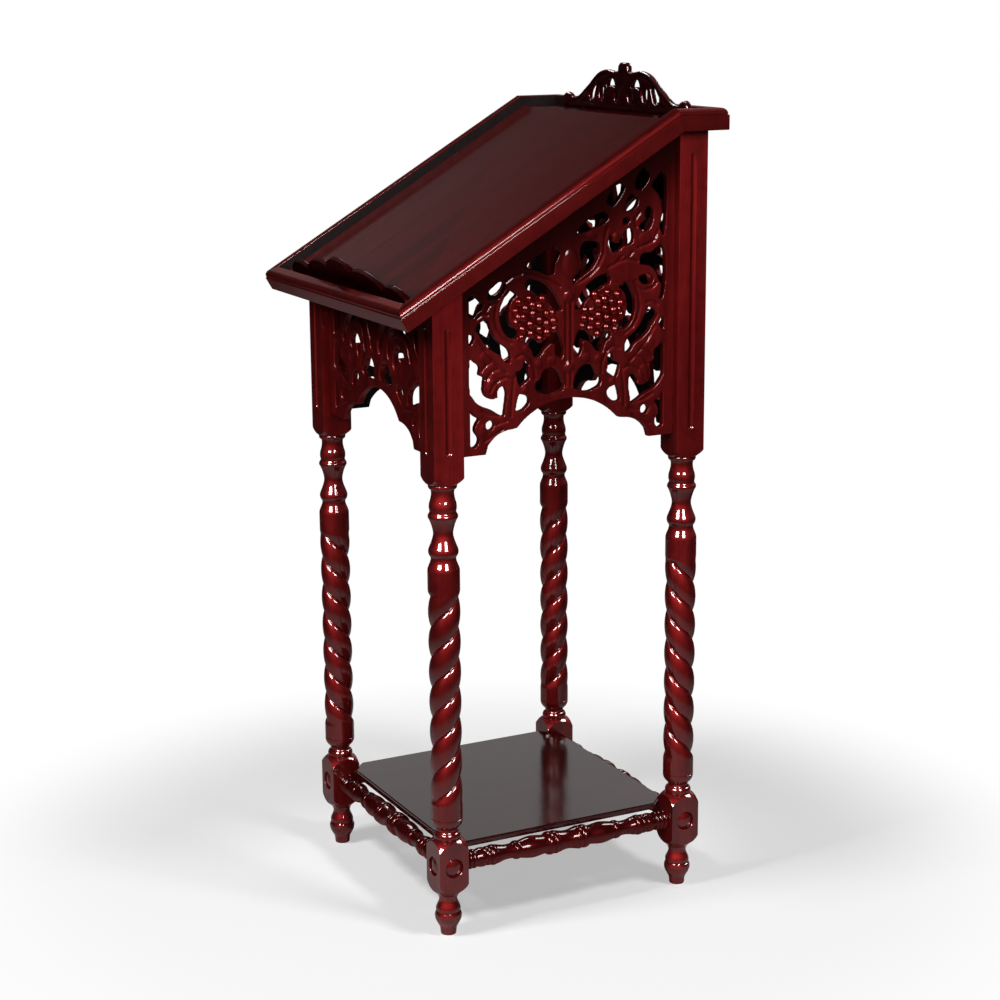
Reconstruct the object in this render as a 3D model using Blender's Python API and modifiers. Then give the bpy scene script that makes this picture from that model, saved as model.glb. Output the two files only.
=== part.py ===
"""Carved lectern in metres, +Z up: a sloping desk with a book ledge and a crest, pierced vine panels
between four legs with twisted shafts, turned stretchers and a low shelf.
The origin is on the floor at the middle of the plan. The reader stands at -Y, the desk rises to +Y."""

import math

import bmesh
import bpy
from mathutils import Matrix, Vector

MM = 0.001

# Fits between touching pieces
FIT_GAP = 0.3 * MM

# Legs, all turned from the same square stock
POST_SIDE = 45 * MM
FOOT_HEIGHT = 79 * MM
BLOCK_HEIGHT = 52 * MM
NECK_HEIGHT = 37 * MM
PLAIN_BELOW_TWIST = 28 * MM
PLAIN_ABOVE_TWIST = 33 * MM
VASE_HEIGHT = 125 * MM
POST_BOTTOM = 665 * MM
TWIST_DEPTH = 5.3 * MM
TWIST_FADE = 12 * MM
LEG_SIDES = 12
TWIST_STEPS = 43  # each turns the shaft by one side of the section
TWIST_LEVELS = 30
FLUTE_WIDTH = 10 * MM
FLUTE_DEPTH = 3 * MM
FLUTE_START = 30 * MM  # above the post's lower end
FLUTE_STOP = 30 * MM  # below the desk
BUTTON_WIDTH = 28.4 * MM
BUTTON_SUNK = 0.5 * MM  # the button's middle below the block's face
BUTTON_POCKET = 3.9 * MM  # depth of the pocket at the button's edge

# Turned outlines: share of the stretch's height, share of half the post's side
FOOT_TURNING = (
    (0.0, 0.50), (0.04, 0.545), (0.19, 0.695), (0.267, 0.82), (0.342, 0.865), (0.42, 0.84),
    (0.53, 0.75), (0.60, 0.64), (0.67, 0.585), (0.735, 0.635), (0.80, 0.79), (0.842, 0.935),
    (0.882, 1.13), (0.94, 1.32), (1.0, 1.42),
)
NECK_TURNING = (
    (0.0, 1.42), (0.08, 1.30), (0.27, 1.01), (0.38, 0.825), (0.485, 0.79), (0.58, 0.71),
    (0.675, 0.65), (0.77, 0.665), (0.86, 0.78), (1.0, 0.985),
)
VASE_TURNING = (
    (0.0, 0.985), (0.048, 0.835), (0.088, 0.775), (0.132, 0.82), (0.18, 0.94), (0.248, 0.785),
    (0.296, 0.675), (0.352, 0.618), (0.42, 0.64), (0.496, 0.81), (0.56, 0.90), (0.629, 0.787),
    (0.66, 0.83), (0.736, 0.733), (0.776, 0.707), (0.868, 0.782), (0.88, 0.858), (0.912, 0.867),
    (0.95, 1.15), (1.0, 1.42),
)

# Stretchers between the blocks
STRETCHER_HEIGHT = 104.5 * MM
TENON_RADIUS = 7 * MM
TENON_LENGTH = 13 * MM
STRETCHER_SIDES = 8
# Distance from the middle as a share of half the length, then radius
STRETCHER_TURNING = (
    (0.0, 13.5 * MM), (0.06, 15.1 * MM), (0.11, 16.8 * MM), (0.135, 16.2 * MM), (0.168, 17.1 * MM),
    (0.195, 16.6 * MM), (0.23, 14.0 * MM), (0.33, 15.9 * MM), (0.395, 15.0 * MM), (0.46, 13.0 * MM),
    (0.505, 13.1 * MM), (0.535, 11.0 * MM), (0.59, 10.8 * MM), (0.66, 12.9 * MM), (0.72, 14.7 * MM),
    (0.76, 13.8 * MM), (0.83, 14.2 * MM), (0.885, 13.0 * MM), (0.91, 14.0 * MM), (1.0, 13.8 * MM),
)

# Shelf let into the blocks' inner corners
SHELF_SETBACK_X = 7.5 * MM  # from the legs' axes
SHELF_SETBACK_Y = 8.3 * MM
SHELF_TOP = 128.3 * MM
SHELF_THICKNESS = 8 * MM
SHELF_LET_IN = 2.8 * MM

# Desk: a board on a slope, a flat board behind it, a moulded rim round both
DESK_SLOPE = math.radians(30.2)
DESK_FRONT_HEIGHT = 873 * MM
DESK_HALF_WIDTH = 242 * MM
SLOPE_LENGTH = 482.5 * MM
FLAT_LENGTH = 71.6 * MM
FRONT_OVERHANG = 47 * MM  # from the posts' outer faces
BACK_OVERHANG = 16.6 * MM
SIDE_OVERHANG = 27.5 * MM
BOARD_THICKNESS = 15.3 * MM
RIM_WIDTH = 20 * MM
RIM_HEIGHT = 30 * MM
FASCIA_HEIGHT = 20.5 * MM
FASCIA_STEP = 1.5 * MM
RIM_ROUND = 8 * MM

# Panels in grooves of the posts
PANEL_THICKNESS = 10 * MM
PANEL_INSET = 13 * MM
PANEL_TONGUE = 6 * MM
PANEL_BOTTOM = 690 * MM
PANEL_BORDER = 16 * MM
TOP_RAIL = 14 * MM
SIDE_ARCH = (0.483, 0.764)  # cusp and foot, as shares of the half width between the posts
SIDE_CUSP_RISE = 32 * MM
WIDE_ARCH = (0.425, 0.71)
WIDE_CUSP_RISE = 31 * MM
ARCH_RISE = 67 * MM

# Book ledge and crest
LEDGE_SETBACK = 11 * MM
LEDGE_THICKNESS = 9 * MM
LEDGE_SEAT = 4 * MM
CREST_THICKNESS = 9 * MM
CREST_DOWEL_RADIUS = 2.5 * MM
CREST_DOWEL_LENGTH = 24 * MM
CREST_DOWEL_SPACING = 240 * MM

# Cleats and their screws
CLEAT_SIDE = 18 * MM
CLEAT_FRONT_CLEARANCE = 30 * MM
CLEAT_BACK_CLEARANCE = 40 * MM
CLEAT_SCREW_FROM_END = 40 * MM
SCREW_RADIUS = 2 * MM
SCREW_HEAD_RADIUS = 4 * MM
SCREW_BITE = 10 * MM

# Sizes that the pierced shapes, the ledge and the crest are drawn for, in millimetres
DRAWN_HALF_OPENING = 151
DRAWN_SIDE_HEIGHT = 334.03  # of a side panel at the middle of its width
DRAWN_FRONT_HEIGHT = 217.57
DRAWN_BACK_HEIGHT = 425.41
DRAWN_HALF_DESK = 242

# Pierced shapes in the lower part of a side panel, for one half: distance from the middle line and
# height over the panel's lower edge, in millimetres
LOWER_VINE = (
    ((151, 14), (151, 62), (146, 56), (137, 50), (142, 43), (144, 34), (138, 23), (140, 15)),
    ((127.5, 40), (126, 44), (121, 46.5), (116, 44), (114.5, 40), (116, 36), (121, 33.5), (126, 36)),
    ((151, 132), (151, 91), (148, 82), (140, 72), (130, 66), (119, 61.5), (109, 55), (99, 50),
     (97.5, 62), (95.5, 76), (96, 86), (99, 92), (104, 91.5), (109, 86), (109, 77), (117, 75.5),
     (125, 78.5), (130, 86), (130, 96), (128.5, 106), (137, 110), (136, 122), (143, 128)),
    ((82, 55.5), (80, 67), (76.5, 79), (70, 77.5), (62, 73.5), (61, 67), (65, 61), (73, 56)),
    ((8.5, 79), (9, 92), (14, 103), (24, 111), (34, 111), (41, 105), (44, 97), (50, 93), (50, 82),
     (42, 77), (30, 74)),
    ((60, 99), (62.5, 108), (61, 121), (70, 123), (71.5, 114), (82, 109.5), (79, 98), (75.5, 88.5),
     (68, 93.5)),
    ((90, 122), (89, 132), (93, 142), (102, 149), (111, 157), (117, 167), (121, 176), (123, 184),
     (130, 183), (138, 179), (142, 172), (138, 167), (131, 156), (122, 146), (112, 139), (104, 134),
     (97, 125)),
    ((151, 167), (147, 167), (144, 161), (147, 154), (151, 152)),
    ((10, 190), (15, 202), (23, 215), (35, 226), (50, 233), (61, 235), (66, 229), (64, 222), (55, 218),
     (46, 211), (35, 205), (27, 198), (20, 189)),
    ((79, 215), (86, 220), (92, 222), (98, 212), (104, 198), (105, 186), (103, 174), (98, 164),
     (90, 157), (82, 155.5), (77, 159), (78, 167), (87, 172), (91, 181), (91, 195), (88, 206)),
    ((8, 128), (9.5, 144), (15, 158), (22, 162), (31, 155), (38, 149.5), (48, 150), (57, 156), (64, 156),
     (66, 148), (59, 141), (55, 132), (53, 126), (44, 129.5), (34, 141), (26, 145), (21, 143), (21, 133),
     (17, 125), (11, 123)),
)
# The same for the taller half of a side panel, over the lower part
UPPER_VINE = (
    ((8, 222), (8, 231), (16, 240), (20, 252), (18, 265), (22, 278), (35, 281), (48, 278), (49, 266),
     (45, 255), (37, 244), (27, 237), (16, 230)),
    ((62, 270), (63, 282), (67, 290), (70, 278), (78, 275), (82, 282), (88, 290), (95, 295), (100, 294),
     (102, 285), (100, 275), (93, 272), (85, 270), (80, 265), (68, 263)),
    ((110, 297), (116, 290), (125, 291), (131, 299), (133, 310), (132, 320), (125, 325), (120, 315),
     (122, 305), (116, 302)),
    ((147, 285), (143, 295), (147, 310), (146, 325), (140, 340), (130, 350), (138, 362), (151, 366),
     (151, 285)),
    ((113, 244), (112, 255), (118, 259), (130, 260), (138, 266), (150, 266), (151, 200), (143, 195),
     (146, 205), (147, 214), (143, 220), (139, 230), (135, 236), (128, 241), (118, 243)),
    ((110, 227), (112, 222), (117, 217), (125, 215), (132, 218), (134, 224), (130, 229), (120, 230)),
    ((14, 291), (18, 300), (30, 309), (45, 317), (58, 320), (62, 311), (52, 302), (38, 298), (28, 294)),
)
# Small shapes that only a side panel has there
SMALL_UPPER_VINE = (
    ((85, 299), (92, 301), (97, 306), (92, 311), (85, 308)),
    ((86, 322), (94, 318), (104, 322), (110, 332), (104, 340), (94, 338)),
    ((90, 240), (97, 242), (100, 236), (94, 232)),
    ((70, 326), (60, 332), (66, 346), (80, 356), (88, 350), (80, 338)),
    ((104, 352), (112, 346), (121, 354), (126, 368), (118, 376), (108, 366)),
)
# What the low half has in place of the taller half's shapes
LOW_HALF_VINE = (
    ((151, 190), (151, 218), (140, 215), (131, 206), (133, 199), (139, 195), (143, 190)),
    ((124, 213), (116, 210), (107, 212), (100, 219), (95, 229), (104, 234), (114, 228), (122, 221)),
    ((67, 250), (55, 247), (40, 242), (30, 238), (22, 240), (20, 255), (14, 267), (22, 276), (38, 270),
     (54, 261)),
)
# Pierced shapes of one half of the front panel, with the same motifs
FRONT_VINE = (
    ((151, 14), (151, 56), (146, 53), (140, 44), (136, 32), (138, 22), (144, 15)),
    ((127, 36), (124, 41), (119, 41), (116, 36), (119, 31), (124, 31)),
    ((151, 74), (151, 112), (145, 117), (136, 110), (132, 98), (123, 89), (111, 83), (102, 73),
     (100, 61), (108, 58), (120, 63), (135, 68)),
    ((88, 60), (85, 74), (77, 82), (67, 80), (65, 72), (72, 64), (80, 57)),
    ((9, 80), (10, 95), (17, 105), (28, 108), (38, 102), (43, 92), (50, 86), (46, 78), (32, 75),
     (20, 77)),
    ((11, 116), (8, 130), (10, 148), (17, 164), (26, 172), (31, 160), (28, 146), (22, 134), (20, 122)),
    ((60, 100), (55, 113), (59, 128), (70, 136), (82, 134), (91, 124), (89, 112), (81, 114), (76, 121),
     (69, 119), (68, 108)),
    ((40, 111), (36, 125), (38, 142), (46, 156), (58, 162), (64, 156), (54, 148), (48, 136), (46, 122)),
    ((72, 156), (86, 152), (99, 142), (107, 128), (111, 116), (119, 122), (115, 138), (105, 152),
     (91, 162), (79, 164)),
    ((151, 126), (151, 184), (144, 188), (131, 178), (124, 162), (126, 144), (135, 132), (145, 126)),
    ((36, 178), (50, 175), (70, 177), (90, 174), (107, 166), (114, 176), (102, 190), (78, 196),
     (52, 194)),
)
# Extra shapes over the others in the middle of the back panel
BACK_MIDDLE_VINE = (
    ((0, 300), (9, 318), (14, 338), (8, 356), (0, 366), (-8, 356), (-14, 338), (-9, 318)),
)
BACK_TOP_VINE = (
    ((26, 332), (40, 338), (50, 352), (52, 370), (42, 384), (28, 386), (22, 372), (32, 362), (34, 348)),
    ((74, 372), (92, 380), (108, 392), (96, 400), (78, 396), (66, 386)),
    ((151, 378), (151, 402), (136, 402), (130, 390), (140, 382)),
)

# Half outlines of the crest, over the board: distance from the middle, height
CREST_EDGE = (
    (180, 0), (180, 9), (176, 18), (168, 21.5), (159, 19), (152, 14.5), (141, 15), (130, 18.5), (116, 26.5),
    (100, 36), (86, 45.5), (72, 53), (58, 57), (47, 58), (36, 57), (25, 55.5), (15, 56.5), (13, 65),
    (8.5, 69),
)
CREST_HOLES = (
    ((22, 31.5), (25, 40), (32, 46), (39, 46), (46, 40), (48, 31), (42, 34), (35, 35.5), (28, 34)),
    ((58, 14), (55, 25), (57, 33), (62, 37), (67, 34), (69, 24), (65, 14)),
    ((17, 12), (14, 22), (17, 29), (23, 26), (24, 15)),
    ((86, 14), (82, 25), (78, 37), (90, 33), (100, 20), (96, 13)),
)
# Book ledge over the board: ends of each lobe and how far it rises over the line between them
LEDGE_LOBES = (
    ((-202, 4), (-131, 14), 13), ((-131, 14), (-41, 31), 12), ((-41, 31), (41, 31), 16),
    ((41, 31), (131, 14), 12), ((131, 14), (202, 4), 13),
)
LEDGE_LOBE_STEPS = 8

# Finest shapes in the pierced work
LEAST_HOLE = 60 * MM * MM
LEAST_BULGE = 1.3 * MM

# Derived places
POST_HALF = POST_SIDE / 2
DESK_PLAN_LENGTH = SLOPE_LENGTH * math.cos(DESK_SLOPE) + FLAT_LENGTH
LEG_X = DESK_HALF_WIDTH - SIDE_OVERHANG - POST_HALF
LEG_Y = (DESK_PLAN_LENGTH - FRONT_OVERHANG - BACK_OVERHANG) / 2 - POST_HALF
DESK_FRONT_REACH = LEG_Y + POST_HALF + FRONT_OVERHANG  # from the middle of the legs to the lowest edge
DESK_BACK_REACH = LEG_Y + POST_HALF + BACK_OVERHANG
DESK_STRETCH = DESK_HALF_WIDTH / (DRAWN_HALF_DESK * MM)
BLOCK_TOP = FOOT_HEIGHT + BLOCK_HEIGHT
TWIST_LOW = BLOCK_TOP + NECK_HEIGHT + PLAIN_BELOW_TWIST
TWIST_HIGH = POST_BOTTOM - VASE_HEIGHT - PLAIN_ABOVE_TWIST
# The desk reaches further to the front than to the back, so the legs stand behind the plan's middle
MID_Y = (DESK_FRONT_REACH + FASCIA_HEIGHT * math.sin(DESK_SLOPE) - DESK_BACK_REACH) / 2
BEND_Y = DESK_BACK_REACH - FLAT_LENGTH  # from the middle of the legs
FLAT_HEIGHT = DESK_FRONT_HEIGHT + SLOPE_LENGTH * math.sin(DESK_SLOPE)
PANEL_MIDDLE = POST_HALF - PANEL_INSET - PANEL_THICKNESS / 2  # outwards from a leg's axis
SLOPE_FRAME = Matrix.Translation((0, MID_Y - DESK_FRONT_REACH, DESK_FRONT_HEIGHT)) @ Matrix.Rotation(
    DESK_SLOPE, 4, "X"
)
FLAT_FRAME = Matrix.Translation((0, MID_Y + BEND_Y, FLAT_HEIGHT))
ACROSS_Y = Matrix(((0, 0, 1, 0), (1, 0, 0, 0), (0, 1, 0, 0), (0, 0, 0, 1)))  # drawn x to Y, drawn y to Z
ACROSS_X = Matrix(((1, 0, 0, 0), (0, 0, -1, 0), (0, 1, 0, 0), (0, 0, 0, 1)))  # drawn x to X, drawn y to Z

# Scene and collections
for old in list(bpy.data.objects):
    bpy.data.objects.remove(old)
PARTS = bpy.data.collections.new("lectern")
CUTTERS = bpy.data.collections.new("lectern_cutters")
bpy.context.scene.collection.children.link(PARTS)
bpy.context.scene.collection.children.link(CUTTERS)

MAHOGANY = (0.17, 0.018, 0.016)
DARK_MAHOGANY = (0.10, 0.014, 0.016)
STEEL = (0.55, 0.55, 0.56)


def finish(name, colour, roughness, metallic=0.0):
    material = bpy.data.materials.new(name + "_finish")
    material.use_nodes = True
    shader = material.node_tree.nodes["Principled BSDF"]
    shader.inputs["Base Color"].default_value = (*colour, 1)
    shader.inputs["Roughness"].default_value = roughness
    shader.inputs["Metallic"].default_value = metallic
    return material


def add_part(name, data, colour=MAHOGANY, roughness=0.25, metallic=0.0, frame=Matrix()):
    part = bpy.data.objects.new(name, data)
    part.matrix_world = frame
    data.materials.append(finish(name, colour, roughness, metallic))
    PARTS.objects.link(part)
    return part


def mesh_from(name, shape):
    bmesh.ops.recalc_face_normals(shape, faces=shape.faces)
    mesh = bpy.data.meshes.new(name)
    shape.to_mesh(mesh)
    shape.free()
    return mesh


def cut(part, shape, frame=Matrix()):
    """Takes the closed shapes in a bmesh away from a part."""
    cutter = bpy.data.objects.new(part.name + "_cutter", mesh_from(part.name + "_cutter", shape))
    cutter.matrix_world = frame
    cutter.hide_render = True
    cutter.display_type = "WIRE"
    CUTTERS.objects.link(cutter)
    boolean = part.modifiers.new("cut", "BOOLEAN")
    boolean.operation = "DIFFERENCE"
    boolean.solver = "EXACT"
    boolean.object = cutter


def add_box(shape, low, high):
    """A box between two opposite corners."""
    low, high = Vector(low), Vector(high)
    size = high - low
    where = Matrix.Translation((low + high) / 2) @ Matrix.Diagonal((*map(abs, size), 1))
    bmesh.ops.create_cube(shape, size=1, matrix=where)


def add_rod(shape, radius, low, high, sides=12, tip_radius=None):
    """A round rod along Z between two points, or a cone where the tip's radius is given."""
    low, high = Vector(low), Vector(high)
    bmesh.ops.create_cone(
        shape, cap_ends=True, segments=sides, radius1=radius,
        radius2=radius if tip_radius is None else tip_radius,
        depth=high.z - low.z, matrix=Matrix.Translation((low + high) / 2),
    )


def underside(y):
    """Height of the desk's underside at a distance from the middle of the legs."""
    return min(DESK_FRONT_HEIGHT + (y + DESK_FRONT_REACH) * math.tan(DESK_SLOPE), FLAT_HEIGHT)


# Legs
def leg_levels():
    """Height, radius, groove depth and turn of each level, from the floor to the post's lower end."""
    levels = [(FOOT_HEIGHT * h, POST_HALF * r, 0, 0) for h, r in FOOT_TURNING]
    levels += [(BLOCK_TOP + NECK_HEIGHT * h, POST_HALF * r, 0, 0) for h, r in NECK_TURNING]
    side_turn = -2 * math.pi / LEG_SIDES
    for step in range(TWIST_LEVELS + 1):
        z = TWIST_LOW + (TWIST_HIGH - TWIST_LOW) * step / TWIST_LEVELS
        fade = min(1, (z - TWIST_LOW) / TWIST_FADE, (TWIST_HIGH - z) / TWIST_FADE)
        turn = side_turn * TWIST_STEPS * step / TWIST_LEVELS
        levels.append((z, POST_HALF * 0.995, TWIST_DEPTH * fade, turn))
    whole_turn = side_turn * TWIST_STEPS
    levels += [(POST_BOTTOM - VASE_HEIGHT * (1 - h), POST_HALF * r, 0, whole_turn) for h, r in VASE_TURNING]
    return levels


def leg_ring(radius, groove, turn):
    """One level of a leg: a circle, cut flat by the stock's faces, with two grooves on opposite sides."""
    ring = []
    for side in range(LEG_SIDES):
        angle = turn + 2 * math.pi * (side + 0.5) / LEG_SIDES
        from_groove = 2 * math.pi * (side - 3) / LEG_SIDES
        grooved = radius - groove * (1 - abs(math.sin(from_groove)) ** 0.55)
        flat = POST_HALF / max(abs(math.cos(angle)), abs(math.sin(angle)))
        reach = min(grooved, flat)
        ring.append((reach * math.cos(angle), reach * math.sin(angle)))
    return ring


def add_button_pocket(shape, frame):
    """The room round and over a button sunk in a face: its bottom is the button's domed front."""
    rows = []
    for share in (0.4, 0.7, 1):
        depth = BUTTON_SUNK + (BUTTON_POCKET - BUTTON_SUNK) * share**2
        rows.append((BUTTON_WIDTH / 2 * share, -depth))
    rows.append((BUTTON_WIDTH / 2, BUTTON_POCKET))
    turns = [2 * math.pi * side / LEG_SIDES for side in range(LEG_SIDES)]
    rings = []
    for radius, z in rows:
        ring = [frame @ Vector((radius * math.cos(turn), radius * math.sin(turn), z)) for turn in turns]
        rings.append([shape.verts.new(point) for point in ring])
    middle = shape.verts.new(frame @ Vector((0, 0, -BUTTON_SUNK)))
    for side in range(LEG_SIDES):
        shape.faces.new((middle, rings[0][side - 1], rings[0][side]))
        for low, high in zip(rings, rings[1:]):
            shape.faces.new((low[side - 1], low[side], high[side], high[side - 1]))
    shape.faces.new(rings[-1])


def add_leg(name, side_x, side_y):
    """One leg. Its section is drawn outwards and mirrored, so that the twists run in opposite ways."""
    shape = bmesh.new()
    axis_x, axis_y = side_x * LEG_X, side_y * LEG_Y
    rings = []
    for z, radius, groove, turn in leg_levels():
        ring = leg_ring(radius, groove, turn)
        rings.append([(axis_x + side_x * u, axis_y + side_y * v, z) for u, v in ring])
    drop = FIT_GAP / math.cos(DESK_SLOPE)
    rings.append([(x, y, underside(y) - drop) for x, y, _ in rings[-1]])
    rings = [[shape.verts.new((x, MID_Y + y, z)) for x, y, z in ring] for ring in rings]
    for low, high in zip(rings, rings[1:]):
        for side in range(LEG_SIDES):
            after = (side + 1) % LEG_SIDES
            shape.faces.new((low[side], low[after], high[after], high[side]))
    shape.faces.new(rings[0])
    shape.faces.new(rings[-1])
    leg = add_part(name, mesh_from(name, shape))

    # Grooves for the two panels, bores for the two stretchers, the shelf's slot, buttons and flutes
    cuts = bmesh.new()
    mirror = Matrix.Translation((axis_x, MID_Y + axis_y, 0)) @ Matrix.Diagonal((side_x, side_y, 1, 1))
    half_groove = PANEL_THICKNESS / 2 + FIT_GAP
    outside = 10 * MM
    for swap in (False, True):
        low = (PANEL_MIDDLE - half_groove, -POST_HALF - outside, PANEL_BOTTOM - FIT_GAP)
        high = (PANEL_MIDDLE + half_groove, PANEL_TONGUE + FIT_GAP - POST_HALF, FLAT_HEIGHT + outside)
        if swap:
            low, high = (low[1], low[0], low[2]), (high[1], high[0], high[2])
        add_box(cuts, low, high)
        towards = Matrix.Rotation(math.radians(-90 if swap else 0), 4, "Z")
        bore_depth = TENON_LENGTH + FIT_GAP
        place = Matrix.Translation((0, (bore_depth - outside) / 2 - POST_HALF, STRETCHER_HEIGHT))
        bore = towards @ place @ Matrix.Rotation(math.radians(90), 4, "X")
        bmesh.ops.create_cone(
            cuts, cap_ends=True, segments=STRETCHER_SIDES, radius1=TENON_RADIUS + FIT_GAP,
            radius2=TENON_RADIUS + FIT_GAP, depth=bore_depth + outside, matrix=bore,
        )
        middle = FOOT_HEIGHT + BLOCK_HEIGHT / 2
        place = Matrix.Translation((0, POST_HALF, middle) if swap else (POST_HALF, 0, middle))
        face = Matrix.Rotation(math.radians(-90 if swap else 90), 4, "X" if swap else "Y")
        add_button_pocket(cuts, place @ face)
        flute_radius = (FLUTE_WIDTH**2 / 4 + FLUTE_DEPTH**2) / (2 * FLUTE_DEPTH)
        centre = POST_HALF + flute_radius - FLUTE_DEPTH
        flute_low = POST_BOTTOM + FLUTE_START + flute_radius
        flute_high = underside(axis_y - POST_HALF) - FLUTE_STOP - flute_radius
        place = Matrix.Translation((0, centre, flute_low) if swap else (centre, 0, flute_low))
        flute = bmesh.ops.create_uvsphere(
            cuts, u_segments=10, v_segments=7, radius=flute_radius, matrix=place
        )
        for point in flute["verts"]:
            if point.co.z > flute_low:
                point.co.z += flute_high - flute_low
    let_in = SHELF_LET_IN + FIT_GAP
    arris = Matrix.Translation((-POST_HALF, -POST_HALF, SHELF_TOP - SHELF_THICKNESS / 2))
    arris = arris @ Matrix.Rotation(math.radians(45), 4, "Z")
    slot_size = Matrix.Diagonal((2 * let_in, 4 * let_in, SHELF_THICKNESS + 2 * FIT_GAP, 1))
    bmesh.ops.create_cube(cuts, size=1, matrix=arris @ slot_size)
    bmesh.ops.transform(cuts, matrix=mirror, verts=cuts.verts)
    cut(leg, cuts)


for side_y, depth_word in ((-1, "front"), (1, "back")):
    for side_x, side_word in ((-1, "left"), (1, "right")):
        add_leg(f"leg_{depth_word}_{side_word}", side_x, side_y)


# Stretchers, turned about their own length
def add_stretcher(name, half_length, frame):
    half = [(half_length * share, radius) for share, radius in STRETCHER_TURNING]
    end = half_length + TENON_LENGTH
    half += [(half_length, TENON_RADIUS), (end, TENON_RADIUS), (end, 0)]
    outline = [(radius, z) for z, radius in reversed(half)] + [(radius, -z) for z, radius in half[1:]]
    mesh = bpy.data.meshes.new(name)
    edges = [(i, i + 1) for i in range(len(outline) - 1)]
    mesh.from_pydata([(radius, 0, z) for radius, z in outline], edges, [])
    stretcher = add_part(name, mesh, frame=frame)
    screw = stretcher.modifiers.new("turned", "SCREW")
    screw.steps = screw.render_steps = STRETCHER_SIDES
    screw.use_merge_vertices = True
    screw.merge_threshold = 0.0001


along_x = Matrix.Rotation(math.radians(90), 4, "Y")
along_y = Matrix.Rotation(math.radians(-90), 4, "X")
for side, word_x, word_y in ((-1, "left", "front"), (1, "right", "back")):
    beside = Matrix.Translation((side * LEG_X, MID_Y, STRETCHER_HEIGHT))
    add_stretcher(f"stretcher_{word_x}", LEG_Y - POST_HALF - FIT_GAP, beside @ along_y)
    between = Matrix.Translation((0, MID_Y + side * LEG_Y, STRETCHER_HEIGHT))
    add_stretcher(f"stretcher_{word_y}", LEG_X - POST_HALF - FIT_GAP, between @ along_x)


# Flat pieces drawn as outlines
def add_flat(name, outlines, thickness, frame, colour=MAHOGANY):
    """A board of even thickness: the first outline is its edge, the others are holes."""
    curve = bpy.data.curves.new(name, "CURVE")
    curve.dimensions = "2D"
    curve.fill_mode = "BOTH"
    curve.extrude = thickness / 2
    for outline in outlines:
        spline = curve.splines.new("POLY")
        spline.points.add(len(outline) - 1)
        for point, (x, y) in zip(spline.points, outline):
            point.co = (x, y, 0, 1)
        spline.use_cyclic_u = True
    return add_part(name, curve, colour=colour, frame=frame)


def as_mesh(part):
    """The same part with its curve made into a mesh, which a cut needs."""
    bpy.context.view_layer.update()
    graph = bpy.context.evaluated_depsgraph_get()
    mesh = bpy.data.meshes.new_from_object(part.evaluated_get(graph))
    shape = bmesh.new()
    shape.from_mesh(mesh)
    bmesh.ops.remove_doubles(shape, verts=shape.verts, dist=0.00001)
    # Thin triangles in the flat faces are evened out, since a cut can leave them open
    level = {face for face in shape.faces if len({round(vert.co.z, 6) for vert in face.verts}) == 1}
    inner = [edge for edge in shape.edges if level.issuperset(edge.link_faces)]
    bmesh.ops.beautify_fill(shape, faces=list(level), edges=inner)
    bmesh.ops.recalc_face_normals(shape, faces=shape.faces)
    shape.to_mesh(mesh)
    shape.free()
    name, frame = part.name, part.matrix_world.copy()
    bpy.data.objects.remove(part)
    made = bpy.data.objects.new(name, mesh)
    made.matrix_world = frame
    PARTS.objects.link(made)
    return made


shelf_x, shelf_y = LEG_X - SHELF_SETBACK_X, LEG_Y - SHELF_SETBACK_Y
clip = LEG_X + LEG_Y - POST_SIDE + SHELF_LET_IN * math.sqrt(2)  # sum of x and y along a clipped corner
shelf_corners = ((shelf_x, clip - shelf_x), (clip - shelf_y, shelf_y))
quarters = ((1, 1, 1), (-1, 1, -1), (-1, -1, 1), (1, -1, -1))
shelf_outline = [(qx * x, qy * y) for qx, qy, order in quarters for x, y in shelf_corners[::order]]
shelf_middle = Matrix.Translation((0, MID_Y, SHELF_TOP - SHELF_THICKNESS / 2))
add_flat("shelf_board", [shelf_outline], SHELF_THICKNESS, shelf_middle, DARK_MAHOGANY)


# Pierced panels
def rounded(points):
    """The outline with a point added where a smooth curve through its points leaves a straight line."""
    result = []
    for i, start in enumerate(points):
        before, end, after = points[i - 1], points[(i + 1) % len(points)], points[(i + 2) % len(points)]
        result.append(start)
        bulge = [(9 * (s + e) - b - a) / 16 for b, s, e, a in zip(before, start, end, after)]
        if math.dist(bulge, [(s + e) / 2 for s, e in zip(start, end)]) > LEAST_BULGE:
            result.append(tuple(bulge))
    return result


def clipped(points, normal, limit):
    """The part of an outline on the near side of a line."""
    result = []
    for i, end in enumerate(points):
        start = points[i - 1]
        ahead_start = normal[0] * start[0] + normal[1] * start[1] - limit
        ahead_end = normal[0] * end[0] + normal[1] * end[1] - limit
        if ahead_start * ahead_end < 0:
            share = ahead_start / (ahead_start - ahead_end)
            result.append(tuple(s + share * (e - s) for s, e in zip(start, end)))
        if ahead_end <= 0:
            result.append(end)
    return result


def area(points):
    pairs = zip(points, points[1:] + points[:1])
    return abs(sum(x * next_y - next_x * y for (x, y), (next_x, next_y) in pairs)) / 2


def vine_holes(shapes, side, half_opening, height_stretch):
    """Shapes of one half in metres, stretched to the panel; side -1 mirrors them."""
    across, upwards = side * half_opening / DRAWN_HALF_OPENING, height_stretch * MM
    return [rounded([(x * across, PANEL_BOTTOM + z * upwards) for x, z in shape]) for shape in shapes]


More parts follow.
